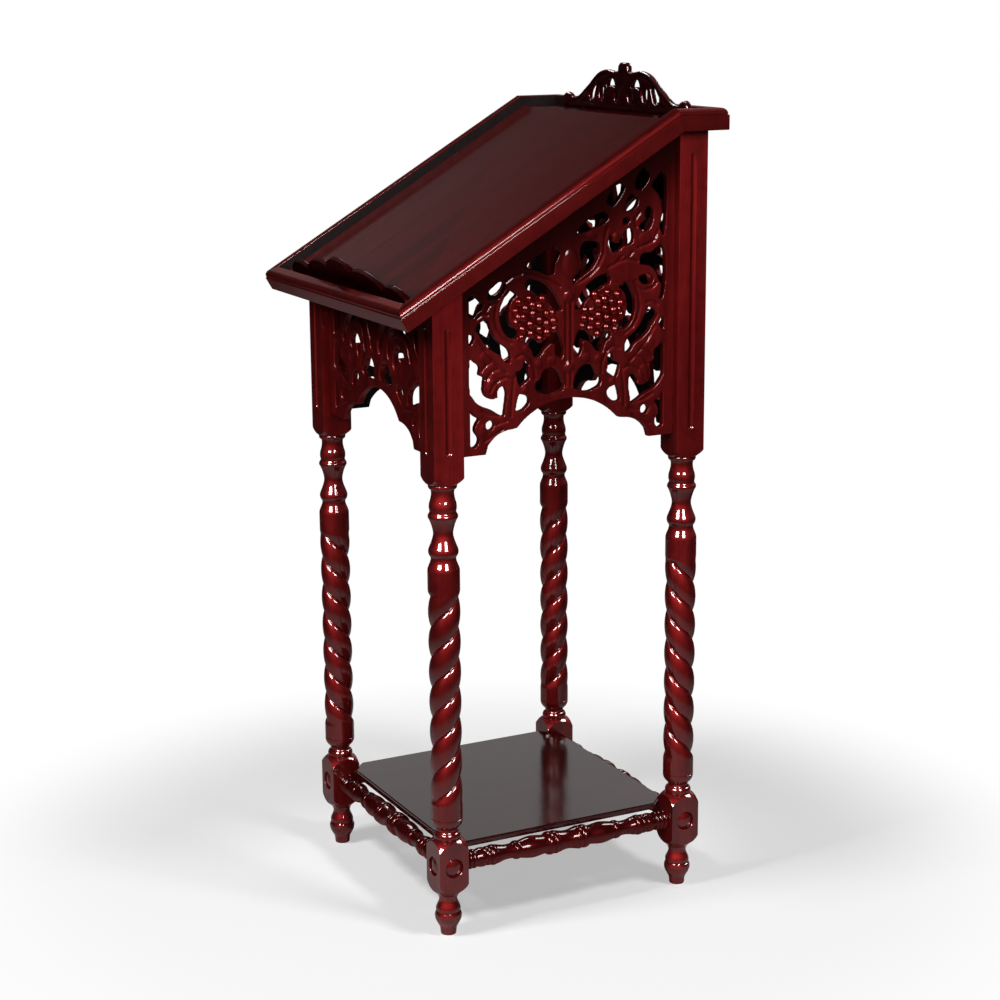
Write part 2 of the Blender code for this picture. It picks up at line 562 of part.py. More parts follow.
def arched_bottom(half_width, cusp_share, foot_share, foot_rise, peak_rise):
    """Lower edge from left to right: flat feet, a quarter curve up to each cusp, one arc between them."""
    cusp, foot = half_width * cusp_share, half_width * foot_share
    quarter = []
    for step in range(5):
        angle = math.radians(90 * step / 4)
        x = cusp + (foot - cusp) * math.sin(angle)
        quarter.append((x, PANEL_BOTTOM + foot_rise * math.cos(angle)))
    rise = peak_rise - foot_rise
    radius = (cusp**2 + rise**2) / (2 * rise)
    reach = math.asin(cusp / radius)
    arch = []
    for step in range(1, 10):
        angle = reach * (step / 5 - 1)
        height = PANEL_BOTTOM + peak_rise - radius * (1 - math.cos(angle))
        arch.append((radius * math.sin(angle), height))
    left = [(-x, z) for x, z in reversed(quarter)]
    return [(-half_width, PANEL_BOTTOM), *left, *arch, *quarter, (half_width, PANEL_BOTTOM)]


side_half = LEG_Y - POST_HALF + PANEL_TONGUE
side_opening = LEG_Y - POST_HALF - PANEL_BORDER
side_top = [(side_half, FLAT_HEIGHT - FIT_GAP), (BEND_Y, FLAT_HEIGHT - FIT_GAP)]
side_top.append((-side_half, underside(-side_half) - FIT_GAP / math.cos(DESK_SLOPE)))
side_stretch = (underside(0) - PANEL_BOTTOM) / (DRAWN_SIDE_HEIGHT * MM)
side_rises = (SIDE_CUSP_RISE * side_stretch, ARCH_RISE * side_stretch)
side_outline = arched_bottom(LEG_Y - POST_HALF, *SIDE_ARCH, *side_rises)
side_outline = [(-side_half, PANEL_BOTTOM), *side_outline[1:-1], (side_half, PANEL_BOTTOM), *side_top]
rail_normal = (-math.sin(DESK_SLOPE), math.cos(DESK_SLOPE))
rail_limit = DESK_FRONT_REACH * math.sin(DESK_SLOPE) + DESK_FRONT_HEIGHT * math.cos(DESK_SLOPE) - TOP_RAIL
side_holes = []
for half, shapes in ((1, LOWER_VINE + UPPER_VINE + SMALL_UPPER_VINE), (-1, LOWER_VINE + LOW_HALF_VINE)):
    side_holes += vine_holes(shapes, half, side_opening, side_stretch)
side_holes = [clipped(hole, rail_normal, rail_limit) for hole in side_holes]
side_holes = [hole for hole in side_holes if len(hole) > 2 and area(hole) > LEAST_HOLE]
for side, word in ((-1, "left"), (1, "right")):
    middle = Matrix.Translation((side * (LEG_X + PANEL_MIDDLE), MID_Y, 0))
    add_flat(f"side_panel_{word}", [side_outline, *side_holes], PANEL_THICKNESS, middle @ ACROSS_Y)

wide_half = LEG_X - POST_HALF + PANEL_TONGUE
wide_opening = LEG_X - POST_HALF - PANEL_BORDER
front_face = LEG_Y + POST_HALF - PANEL_INSET
front_top = underside(-front_face) - FIT_GAP / math.cos(DESK_SLOPE)
back_top = FLAT_HEIGHT - FIT_GAP
front_stretch = (front_top - PANEL_BOTTOM) / (DRAWN_FRONT_HEIGHT * MM)
back_stretch = (back_top - PANEL_BOTTOM) / (DRAWN_BACK_HEIGHT * MM)
back_shapes = LOWER_VINE + UPPER_VINE + BACK_TOP_VINE
front_holes = []
back_holes = vine_holes(BACK_MIDDLE_VINE, 1, wide_opening, back_stretch)
for half in (-1, 1):
    front_holes += vine_holes(FRONT_VINE, half, wide_opening, front_stretch)
    back_holes += vine_holes(back_shapes, half, wide_opening, back_stretch)
wide_panels = (
    (-1, "front", front_top, front_stretch, front_holes), (1, "back", back_top, back_stretch, back_holes),
)
for side, word, top, stretch, holes in wide_panels:
    wide_rises = (WIDE_CUSP_RISE * stretch, ARCH_RISE * stretch)
    wide_arch = arched_bottom(LEG_X - POST_HALF, *WIDE_ARCH, *wide_rises)
    wide_bottom = [(-wide_half, PANEL_BOTTOM), *wide_arch[1:-1], (wide_half, PANEL_BOTTOM)]
    holes = [clipped(hole, (0, 1), top - TOP_RAIL) for hole in holes]
    holes = [hole for hole in holes if len(hole) > 2 and area(hole) > LEAST_HOLE]
    outline = [*wide_bottom, (wide_half, top), (-wide_half, top)]
    middle = Matrix.Translation((0, MID_Y + side * (LEG_Y + PANEL_MIDDLE), 0))
    add_flat(f"{word}_panel", [outline, *holes], PANEL_THICKNESS, middle @ ACROSS_X)


# Desk rim, boards and what stands on them
def sawn(shape, planes):
    """Cuts a closed shape with planes, each a point and the direction of the waste."""
    for point, waste in planes:
        geometry = [*shape.verts, *shape.edges, *shape.faces]
        bmesh.ops.bisect_plane(shape, geom=geometry, plane_co=point, plane_no=waste, clear_outer=True)
        rim = [edge for edge in shape.edges if edge.is_boundary]
        bmesh.ops.contextual_create(shape, geom=rim)


def rim_section():
    """Distance inwards from the outer face, height: fascia, step, rounded edge, flat lip, inner face."""
    section = [(0, 0), (0, FASCIA_HEIGHT), (FASCIA_STEP, FASCIA_HEIGHT + FASCIA_STEP)]
    for step in range(1, 4):
        angle = math.radians(30 * step)
        round_x = FASCIA_STEP + RIM_ROUND * (1 - math.cos(angle))
        round_z = RIM_HEIGHT - RIM_ROUND * (1 - math.sin(angle))
        section.append((round_x, round_z))
    return [*section, (RIM_WIDTH, RIM_HEIGHT), (RIM_WIDTH, 0)]


def add_rim(name, frame, corner, run, inward, planes):
    """A length of the rim through a corner point, sawn to its mitres."""
    shape = bmesh.new()
    corner, run, inward = Vector(corner), Vector(run), Vector(inward)
    length = 2 * (DESK_HALF_WIDTH + SLOPE_LENGTH)
    start = corner - run * length / 2
    section = [shape.verts.new(start + inward * x + Vector((0, 0, z))) for x, z in rim_section()]
    face = shape.faces.new(section)
    made = bmesh.ops.extrude_face_region(shape, geom=[face])["geom"]
    moved = [item for item in made if isinstance(item, bmesh.types.BMVert)]
    bmesh.ops.translate(shape, verts=moved, vec=run * length)
    bmesh.ops.recalc_face_normals(shape, faces=shape.faces)
    half_gap = FIT_GAP / 2
    sawn(shape, [(Vector(point) - Vector(waste).normalized() * half_gap, waste) for point, waste in planes])
    add_part(name, mesh_from(name, shape), frame=frame)


wide = DESK_HALF_WIDTH
half_bend = DESK_SLOPE / 2
bend_waste = Vector((0, math.cos(half_bend), -math.sin(half_bend)))  # as seen from the slope
flat_waste = Vector((0, -math.cos(half_bend), -math.sin(half_bend)))  # as seen from the flat
bend_point = (0, SLOPE_LENGTH, 0)
front_ends = [((side * wide, 0, 0), (side, 1, 0)) for side in (-1, 1)]
add_rim("rim_front", SLOPE_FRAME, (0, 0, 0), (1, 0, 0), (0, 1, 0), front_ends)
back_ends = [((side * wide, FLAT_LENGTH, 0), (side, -1, 0)) for side in (-1, 1)]
add_rim("rim_back", FLAT_FRAME, (0, FLAT_LENGTH, 0), (1, 0, 0), (0, -1, 0), back_ends)
for side, word in ((-1, "left"), (1, "right")):
    corner, back_corner = (side * wide, 0, 0), (side * wide, FLAT_LENGTH, 0)
    slope_ends = [(corner, (-side, -1, 0)), (bend_point, bend_waste)]
    add_rim(f"rim_{word}_slope", SLOPE_FRAME, corner, (0, 1, 0), (-side, 0, 0), slope_ends)
    flat_ends = [((0, 0, 0), flat_waste), (back_corner, (-side, 1, 0))]
    add_rim(f"rim_{word}_flat", FLAT_FRAME, (side * wide, 0, 0), (0, 1, 0), (-side, 0, 0), flat_ends)

board_half = wide - RIM_WIDTH - FIT_GAP
half_gap = Vector((0, FIT_GAP / 2, 0))
slab = bmesh.new()
add_box(slab, (-board_half, RIM_WIDTH + FIT_GAP, 0), (board_half, 2 * SLOPE_LENGTH, BOARD_THICKNESS))
sawn(slab, [(Vector(bend_point) - half_gap, bend_waste)])
desk_board = add_part("desk_board", mesh_from("desk_board", slab), DARK_MAHOGANY, frame=SLOPE_FRAME)

slab = bmesh.new()
flat_end = FLAT_LENGTH - RIM_WIDTH - FIT_GAP
add_box(slab, (-board_half, -FLAT_LENGTH, 0), (board_half, flat_end, BOARD_THICKNESS))
sawn(slab, [(half_gap, flat_waste)])
top_board = add_part("top_board", mesh_from("top_board", slab), DARK_MAHOGANY, frame=FLAT_FRAME)

# Book ledge: a row of lobes, seated in a groove across the desk board
ledge_edge = []
for (start_x, start_z), (end_x, end_z), rise in LEDGE_LOBES:
    run = Vector((end_x - start_x, end_z - start_z))
    lobe_radius = (run.length**2 / 4 + rise**2) / (2 * rise)
    reach = math.asin(run.length / 2 / lobe_radius)
    along = run.normalized()
    upwards = Vector((-along.y, along.x))
    middle = Vector((start_x + end_x, start_z + end_z)) / 2
    first = 0 if not ledge_edge else 1
    for step in range(first, LEDGE_LOBE_STEPS + 1):
        angle = reach * (2 * step / LEDGE_LOBE_STEPS - 1)
        lift = rise - lobe_radius * (1 - math.cos(angle))
        point = middle + along * lobe_radius * math.sin(angle) + upwards * lift
        ledge_edge.append((point.x * MM * DESK_STRETCH, point.y * MM))
ledge_end = -LEDGE_LOBES[0][0][0] * MM * DESK_STRETCH
seat = -LEDGE_SEAT + FIT_GAP
ledge_outline = [*reversed(ledge_edge), (-ledge_end, seat), (ledge_end, seat)]
ledge_middle = RIM_WIDTH + LEDGE_SETBACK + LEDGE_THICKNESS / 2
ledge_place = Matrix.Translation((0, ledge_middle, BOARD_THICKNESS))
add_flat("book_ledge", [ledge_outline], LEDGE_THICKNESS, SLOPE_FRAME @ ledge_place @ ACROSS_X)
groove = bmesh.new()
groove_half = LEDGE_THICKNESS / 2 + FIT_GAP
groove_low = (-ledge_end - FIT_GAP, ledge_middle - groove_half, BOARD_THICKNESS - LEDGE_SEAT)
add_box(groove, groove_low, (ledge_end + FIT_GAP, ledge_middle + groove_half, 2 * BOARD_THICKNESS))

# Cleats inside the side panels, screwed up into the desk board
cleat_outer = LEG_X + PANEL_MIDDLE - PANEL_THICKNESS / 2 - FIT_GAP
cleat_x = cleat_outer - CLEAT_SIDE / 2
cleat_front = DESK_FRONT_REACH - LEG_Y + POST_HALF + CLEAT_FRONT_CLEARANCE
cleat_back = DESK_FRONT_REACH + BEND_Y - CLEAT_BACK_CLEARANCE
cleat_front, cleat_back = cleat_front / math.cos(DESK_SLOPE), cleat_back / math.cos(DESK_SLOPE)
cleat_low, cleat_high = -CLEAT_SIDE - FIT_GAP, -FIT_GAP
head_height = SCREW_HEAD_RADIUS - SCREW_RADIUS
for side, word in ((-1, "left"), (1, "right")):
    bar = bmesh.new()
    inner = cleat_outer - CLEAT_SIDE
    edges = sorted((side * inner, side * cleat_outer))
    add_box(bar, (edges[0], cleat_front, cleat_low), (edges[1], cleat_back, cleat_high))
    cleat = add_part(f"cleat_{word}", mesh_from("cleat", bar), DARK_MAHOGANY, frame=SLOPE_FRAME)
    bores = bmesh.new()
    screw_places = (cleat_front + CLEAT_SCREW_FROM_END, cleat_back - CLEAT_SCREW_FROM_END)
    for screw_y, end_word in zip(screw_places, ("front", "back")):
        screw_top = SCREW_BITE
        outline = (
            (0, screw_top), (SCREW_RADIUS, screw_top - SCREW_RADIUS), (SCREW_RADIUS, cleat_low + head_height),
            (SCREW_HEAD_RADIUS, cleat_low), (0, cleat_low),
        )
        name = f"screw_{word}_{end_word}"
        mesh = bpy.data.meshes.new(name)
        steps = [(i, i + 1) for i in range(len(outline) - 1)]
        mesh.from_pydata([(radius, 0, z) for radius, z in outline], steps, [])
        where = SLOPE_FRAME @ Matrix.Translation((side * cleat_x, screw_y, 0))
        screw = add_part(name, mesh, STEEL, 0.3, 1.0, where)
        turned = screw.modifiers.new("turned", "SCREW")
        turned.steps = turned.render_steps = STRETCHER_SIDES
        turned.use_merge_vertices = True
        turned.merge_threshold = 0.0001
        hole_radius = SCREW_RADIUS + FIT_GAP
        low = (side * cleat_x, screw_y, cleat_low + head_height)
        add_rod(bores, hole_radius, low, (side * cleat_x, screw_y, -cleat_low), STRETCHER_SIDES)
        pilot_low = (side * cleat_x, screw_y, cleat_low)
        pilot_high = (side * cleat_x, screw_y, SCREW_BITE + FIT_GAP)
        add_rod(groove, hole_radius, pilot_low, pilot_high, STRETCHER_SIDES)
    cut(cleat, bores, SLOPE_FRAME)
    sinks = bmesh.new()
    for screw_y in screw_places:
        sink_low = (side * cleat_x, screw_y, cleat_low - 2 * FIT_GAP)
        sink_high = (side * cleat_x, screw_y, cleat_low + head_height + FIT_GAP)
        wide_end = SCREW_HEAD_RADIUS + 3 * FIT_GAP
        add_rod(sinks, wide_end, sink_low, sink_high, STRETCHER_SIDES, SCREW_RADIUS + FIT_GAP)
    cut(cleat, sinks, SLOPE_FRAME)
cut(desk_board, groove, SLOPE_FRAME)

# Crest on two dowels at the back of the top board
crest_across = MM * DESK_STRETCH
crest_half = [(x * crest_across, z * MM) for x, z in CREST_EDGE]
crest_outline = [*crest_half, *[(-x, z) for x, z in reversed(crest_half)]]
crest_holes = []
for hole in CREST_HOLES:
    crest_holes += [rounded([(side * x * crest_across, z * MM) for x, z in hole]) for side in (-1, 1)]
crest_middle = FLAT_LENGTH - RIM_WIDTH - FIT_GAP - CREST_THICKNESS / 2
crest_place = Matrix.Translation((0, crest_middle, BOARD_THICKNESS + FIT_GAP))
crest = add_flat("crest", [crest_outline, *crest_holes], CREST_THICKNESS, FLAT_FRAME @ crest_place @ ACROSS_X)
crest = as_mesh(crest)
dowel_low = BOARD_THICKNESS - CREST_DOWEL_LENGTH / 2
dowel_high = dowel_low + CREST_DOWEL_LENGTH
board_bores, crest_bores = bmesh.new(), bmesh.new()
for side, word in ((-1, "left"), (1, "right")):
    x = side * CREST_DOWEL_SPACING * DESK_STRETCH / 2
    pin = bmesh.new()
    add_rod(pin, CREST_DOWEL_RADIUS, (x, crest_middle, dowel_low), (x, crest_middle, dowel_high))
    add_part(f"crest_dowel_{word}", mesh_from("crest_dowel", pin), (0.45, 0.3, 0.18), 0.6, frame=FLAT_FRAME)
    bore_radius = CREST_DOWEL_RADIUS + FIT_GAP
    bore_low = (x, crest_middle, dowel_low - FIT_GAP)
    add_rod(board_bores, bore_radius, bore_low, (x, crest_middle, 2 * BOARD_THICKNESS))
    add_rod(crest_bores, bore_radius, (x, crest_middle, 0), (x, crest_middle, dowel_high + FIT_GAP))
cut(top_board, board_bores, FLAT_FRAME)
cut(crest, crest_bores, FLAT_FRAME)
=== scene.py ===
"""Looks of the carved lectern: twisted legs, pierced vine panels, moulded desk, crest and studio."""
import math

import bmesh
import bpy
import numpy as np
from mathutils import Matrix, Vector
from mathutils.kdtree import KDTree


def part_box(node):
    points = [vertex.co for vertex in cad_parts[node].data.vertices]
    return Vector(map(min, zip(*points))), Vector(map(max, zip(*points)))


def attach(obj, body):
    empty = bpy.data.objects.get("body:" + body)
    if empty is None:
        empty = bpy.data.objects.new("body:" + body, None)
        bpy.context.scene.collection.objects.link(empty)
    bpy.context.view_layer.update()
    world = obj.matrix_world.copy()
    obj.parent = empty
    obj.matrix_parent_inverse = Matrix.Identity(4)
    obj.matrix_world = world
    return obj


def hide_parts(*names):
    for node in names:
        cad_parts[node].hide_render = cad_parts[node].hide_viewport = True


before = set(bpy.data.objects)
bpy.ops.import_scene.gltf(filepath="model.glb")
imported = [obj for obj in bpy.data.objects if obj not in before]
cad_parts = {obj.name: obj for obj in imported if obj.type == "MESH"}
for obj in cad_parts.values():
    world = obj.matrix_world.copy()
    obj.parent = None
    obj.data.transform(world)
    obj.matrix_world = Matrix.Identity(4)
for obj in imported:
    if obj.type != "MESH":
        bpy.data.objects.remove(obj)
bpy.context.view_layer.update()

MM = 0.001
bpy.ops.object.select_all(action="DESELECT")

# Main sizes, as in the part's source
POST_HALF = 22.5 * MM
POST_BOTTOM = 665 * MM
BLOCK_MIDDLE = 105 * MM
STRETCHER_HEIGHT = 104.5 * MM
TENON_LENGTH = 13 * MM
TENON_RADIUS = 7 * MM
TWIST_LOW = 196 * MM
TWIST_HIGH = 507 * MM
TWIST_TURN = math.radians(-30 * 43)
TWIST_DEPTH = 5.3 * MM
TWIST_FADE = 12 * MM
GROOVE_ANGLE = math.radians(105)
SHAFT_RADIUS = 22.4 * MM
DESK_SLOPE = math.radians(30.2)
DESK_FRONT_HEIGHT = 873 * MM
SLOPE_LENGTH = 482.5 * MM
FLAT_LENGTH = 71.6 * MM
DESK_HALF_WIDTH = 242 * MM
FRONT_OVERHANG = 47 * MM
BOARD_THICKNESS = 15.3 * MM
THIN_BOARD = 9 * MM
PANEL_BOTTOM = 690 * MM
GAP = 0.3 * MM
MERGE_DISTANCE = 0.00001

leg_low, leg_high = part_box("leg_back_right")
LEG_X = (leg_low.x + leg_high.x) / 2
LEG_BACK_Y = (leg_low.y + leg_high.y) / 2
front_low, front_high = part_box("leg_front_right")
LEG_FRONT_Y = (front_low.y + front_high.y) / 2
MID_Y = (LEG_BACK_Y + LEG_FRONT_Y) / 2
LEG_Y = LEG_BACK_Y - MID_Y
DESK_FRONT_Y = LEG_FRONT_Y - POST_HALF - FRONT_OVERHANG
FLAT_HEIGHT = DESK_FRONT_HEIGHT + SLOPE_LENGTH * math.sin(DESK_SLOPE)
BEND_Y = DESK_FRONT_Y + SLOPE_LENGTH * math.cos(DESK_SLOPE)
DESK_UP = (0, -math.sin(DESK_SLOPE), math.cos(DESK_SLOPE))
SLOPE_FRAME = Matrix.Translation((0, DESK_FRONT_Y, DESK_FRONT_HEIGHT)) @ Matrix.Rotation(DESK_SLOPE, 4, "X")
FLAT_FRAME = Matrix.Translation((0, BEND_Y, FLAT_HEIGHT))


# Everyday steps
def only(piece):
    """Selects one piece and nothing else."""
    bpy.ops.object.select_all(action="DESELECT")
    piece.select_set(True)
    bpy.context.view_layer.objects.active = piece
    return piece


def named(name):
    """Names the piece that was just added."""
    piece = bpy.context.object
    piece.name = piece.data.name = name
    return piece


def placed(name, data):
    """A new piece, lamp or camera in the scene."""
    thing = bpy.data.objects.new(name, data)
    bpy.context.scene.collection.objects.link(thing)
    return thing


def edit(piece):
    only(piece)
    bpy.ops.object.mode_set(mode="EDIT")


def select_all():
    bpy.ops.mesh.select_all(action="SELECT")


def done():
    bpy.ops.object.mode_set(mode="OBJECT")


def choose(kind, test):
    """In edit mode, selects the points or faces that pass a test."""
    mesh = bpy.context.object.data
    bpy.ops.mesh.select_mode(type={"verts": "VERT", "faces": "FACE"}[kind])
    bpy.ops.mesh.select_all(action="DESELECT")
    shape = bmesh.from_edit_mesh(mesh)
    for item in getattr(shape, kind):
        if test(item):
            item.select_set(True)
    shape.select_flush_mode()
    bmesh.update_edit_mesh(mesh)


def settle(piece):
    """Moves a piece's place into its mesh."""
    only(piece)
    bpy.ops.object.transform_apply(location=True, rotation=True, scale=True)
    return piece


def apply(piece, kind, **settings):
    """Adds a modifier, sets it and applies it."""
    only(piece)
    modifier = piece.modifiers.new(kind.lower(), kind)
    for key, value in settings.items():
        setattr(modifier, key, value)
    bpy.ops.object.modifier_apply(modifier=modifier.name)
    return piece


def combine(piece, other, operation):
    """Cuts or trims a piece with another, which is used up."""
    apply(piece, "BOOLEAN", operation=operation, solver="EXACT", object=other)
    bpy.data.objects.remove(other)
    return piece


def turn_faces_out():
    """In edit mode, turns all faces outwards."""
    select_all()
    bpy.ops.mesh.normals_make_consistent(inside=False)


def saw_off(point, waste):
    """In edit mode, saws off what lies past a point on the waste side."""
    select_all()
    bpy.ops.mesh.bisect(plane_co=point, plane_no=waste, clear_outer=True, use_fill=True)


def clean(piece):
    """Joins points that coincide and turns all faces outwards."""
    edit(piece)
    select_all()
    bpy.ops.mesh.remove_doubles(threshold=MERGE_DISTANCE)
    turn_faces_out()
    done()
    return piece


def smooth(piece, degrees):
    only(piece)
    bpy.ops.object.shade_smooth_by_angle(angle=math.radians(degrees))
    return piece


def level_faces(piece):
    """Keeps broad faces flat to the eye beside their rounded edges."""
    return apply(piece, "WEIGHTED_NORMAL", keep_sharp=True)


def soften(piece, width, segments):
    return apply(
        piece, "BEVEL", width=width, segments=segments, limit_method="ANGLE",
        angle_limit=math.radians(30), use_clamp_overlap=True, harden_normals=False,
    )


def merged(pieces):
    """Joins several pieces into the first."""
    only(pieces[0])
    for other in pieces[1:]:
        other.select_set(True)
    bpy.ops.object.join()
    return pieces[0]


def copy_of(piece, name):
    """A copy with its own mesh."""
    only(piece)
    bpy.ops.object.duplicate(linked=False)
    return named(name)


def twin(piece, name, degrees):
    """A copy mirrored from the right side to the left and smoothed again."""
    copy = copy_of(piece, name)
    copy.matrix_world = Matrix.Diagonal((-1, 1, 1, 1)) @ copy.matrix_world
    edit(settle(copy))
    turn_faces_out()
    done()
    return smooth(copy, degrees)


def points_of(piece):
    """The places of a piece's points, one to a row."""
    points = np.empty(len(piece.data.vertices) * 3, np.float32)
    piece.data.vertices.foreach_get("co", points)
    return points.reshape(-1, 3).astype(np.float64)


def move_points(piece, points):
    piece.data.vertices.foreach_set("co", points.astype(np.float32).ravel())
    piece.data.update()


def fit(piece, finish, slot, *nodes):
    """Gives a finished piece its lacquer, its body and the nodes it stands for."""
    piece.data.materials.clear()
    piece.data.materials.append(finish)
    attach(piece, "root")
    if nodes:
        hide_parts(*nodes)
    return piece


# Finishes
def feed(tree, socket, value):
    """Links an output to a socket, or sets the socket to a value."""
    if isinstance(value, bpy.types.NodeSocket):
        tree.links.new(value, socket)
    else:
        socket.default_value = value


def shade_node(tree, kind, **inputs):
    """Adds a node; each input is a setting, a value or the output that feeds it."""
    node = tree.nodes.new(kind)
    for key, value in inputs.items():
        if key in node.bl_rna.properties:
            setattr(node, key, value)
        else:
            feed(tree, node.inputs[key.replace("_", " ")], value)
    return node


EASED = {"interpolation_type": "SMOOTHSTEP"}


def ranged(tree, value, start, end, low, high, **settings):
    """A value taken from one range to another."""
    limits = {"From_Min": start, "From_Max": end, "To_Min": low, "To_Max": high}
    return shade_node(tree, "ShaderNodeMapRange", Value=value, **limits, **settings).outputs["Result"]


def measure(tree, operation, first, second, kind="ShaderNodeVectorMath"):
    """One number from two places or, by the plain maths node, from two numbers."""
    node = shade_node(tree, kind, operation=operation)
    feed(tree, node.inputs[0], first)
    feed(tree, node.inputs[1], second)
    return node.outputs["Value"]


def most(tree, first, second):
    return measure(tree, "MAXIMUM", first, second, "ShaderNodeMath")


def times(tree, first, second):
    return measure(tree, "MULTIPLY", first, second, "ShaderNodeMath")


def noise(tree, place, scale, detail, roughness, **settings):
    node = shade_node(
        tree, "ShaderNodeTexNoise", Vector=place, Scale=scale, Detail=detail, Roughness=roughness, **settings
    )
    return node.outputs["Fac"]


def laid(tree, place, **settings):
    """A place turned or stretched, to lay a pattern."""
    return shade_node(tree, "ShaderNodeMapping", Vector=place, **settings).outputs["Vector"]


def bump(tree, height, strength, depth, **settings):
    node = shade_node(tree, "ShaderNodeBump", Height=height, Strength=strength, Distance=depth, **settings)
    return node.outputs["Normal"]


def coloured(tree, value, stops):
    """Colours that follow a value."""
    ramp = shade_node(tree, "ShaderNodeValToRGB", Fac=value)
    elements = ramp.color_ramp.elements
    while len(elements) < len(stops):
        elements.new(0.5)
    for element, (place, colour) in zip(elements, stops):
        element.position = place
        element.color = (*colour, 1)
    return ramp.outputs["Color"]


def toned(colour, *parts):
    """A colour with its red, green and blue taken up or down."""
    return [value * part for value, part in zip(colour, parts)]


def laid_over(tree, colour, share, other):
    """A colour with another laid over it by a share."""
    node = shade_node(tree, "ShaderNodeMix", data_type="RGBA", A=colour, B=(*other, 1), Factor=share)
    return node.outputs["Result"]


def new_finish(name):
    """A new material, its node tree, its shader's sockets and the place on the piece."""
    material = bpy.data.materials.new(name)
    material.use_nodes = True
    tree = material.node_tree
    place = tree.nodes.new("ShaderNodeTexCoord").outputs["Object"]
    return material, tree, tree.nodes["Principled BSDF"].inputs, place


# Lacquered mahogany
COAT_ROUGHNESS = 0.035
FIGURE_SCALE = (38, 38, 3.2)
PORE_SCALE = (720, 720, 26)
SHADED_FROM = 105 * MM
SHADED_TO = 22 * MM


def mahogany(name, turn, stain, depth, rough, gloss, coat, shaded=False):
    """Mahogany with a red stain under clear lacquer; turn lays the grain, depth is how much the stain glows.

    Shaded wood also gets painted shade: it is darker close under the desk, standing in for the shadow of the
    desk's overhang.
    """
    material, tree, shader, where = new_finish(name)
    shader["Specular IOR Level"].default_value = gloss
    shader["Metallic"].default_value = depth
    shader["Coat Weight"].default_value = coat
    shader["Coat Roughness"].default_value = COAT_ROUGHNESS
    dark, middle, light = stain
    grain = laid(tree, where, Rotation=turn)
    # Figure: slow bands along the grain
    figure = noise(tree, laid(tree, grain, Scale=FIGURE_SCALE), 1.0, 4.0, 0.55, Distortion=0.4)
    stain_and_shade = coloured(tree, figure, ((0.36, dark), (0.5, middle), (0.66, light)))
    # Pores: fine short streaks
    pores = noise(tree, laid(tree, grain, Scale=PORE_SCALE), 1.0, 3.0, 0.6)
    streaks = ranged(tree, pores, 0.52, 0.74, 0.0, 0.55)
    stain_and_shade = laid_over(tree, stain_and_shade, streaks, toned(dark, 0.45, 0.6, 0.6))
    # Painted shade: darker in hollows, where occlusion shade would gather; lighter on sharp edges
    form = tree.nodes.new("ShaderNodeNewGeometry").outputs["Pointiness"]
    hollows = ranged(tree, form, 0.5, 0.44, 0.0, 0.6)
    stain_and_shade = laid_over(tree, stain_and_shade, hollows, toned(dark, 0.35, 0.5, 0.5))
    edges = ranged(tree, form, 0.53, 0.62, 0.0, 0.5)
    stain_and_shade = laid_over(tree, stain_and_shade, edges, toned(light, 1.35, 1.6, 1.5))
    # Painted shade under the desk's overhang: darker the closer the wood lies under the desk
    if shaded:
        desk = DESK_FRONT_HEIGHT * math.cos(DESK_SLOPE) - DESK_FRONT_Y * math.sin(DESK_SLOPE)
        up = measure(tree, "DOT_PRODUCT", where, DESK_UP)
        near = ranged(tree, up, desk - SHADED_FROM, desk - SHADED_TO, 0.0, 0.92, **EASED)
        stain_and_shade = laid_over(tree, stain_and_shade, near, toned(dark, 0.12, 0.3, 0.3))
    feed(tree, shader["Base Color"], stain_and_shade)
    # Lacquer: slightly uneven gloss and a faint ripple
    haze = ranged(tree, noise(tree, where, 60.0, 3.0, 0.6), 0.3, 0.7, rough * 0.88, rough * 1.15)
    feed(tree, shader["Roughness"], haze)
    ripple = bump(tree, pores, 0.06, 0.6 * MM)
    wave = bump(tree, noise(tree, where, 110.0, 2.0, 0.5), 0.05, 1.2 * MM, Normal=ripple)
    feed(tree, shader["Normal"], wave)
    feed(tree, shader["Coat Normal"], wave)
    return material


QUARTER = math.radians(90)
RED_STAIN = ((0.1333, 0.0065, 0.0069), (0.18, 0.0091, 0.0096), (0.2267, 0.0119, 0.0123))
CARVED_STAIN = ((0.1718, 0.0107, 0.0113), (0.227, 0.0141, 0.015), (0.2761, 0.0178, 0.0184))
BERRY_STAIN = ((0.2619, 0.0089, 0.0095), (0.3571, 0.0125, 0.0131), (0.4405, 0.0167, 0.0173))
RIM_STAIN = ((0.1488, 0.0089, 0.0095), (0.2024, 0.0116, 0.0122), (0.25, 0.0149, 0.0155))
CREST_STAIN = ((0.0536, 0.003, 0.0036), (0.0774, 0.0042, 0.0048), (0.1071, 0.0054, 0.006))
BOARD_STAIN = ((0.075, 0.0025, 0.0027), (0.095, 0.0032, 0.0035), (0.1175, 0.0043, 0.0045))
SHELF_STAIN = ((0.0567, 0.0027, 0.003), (0.08, 0.0037, 0.004), (0.1, 0.0047, 0.005))
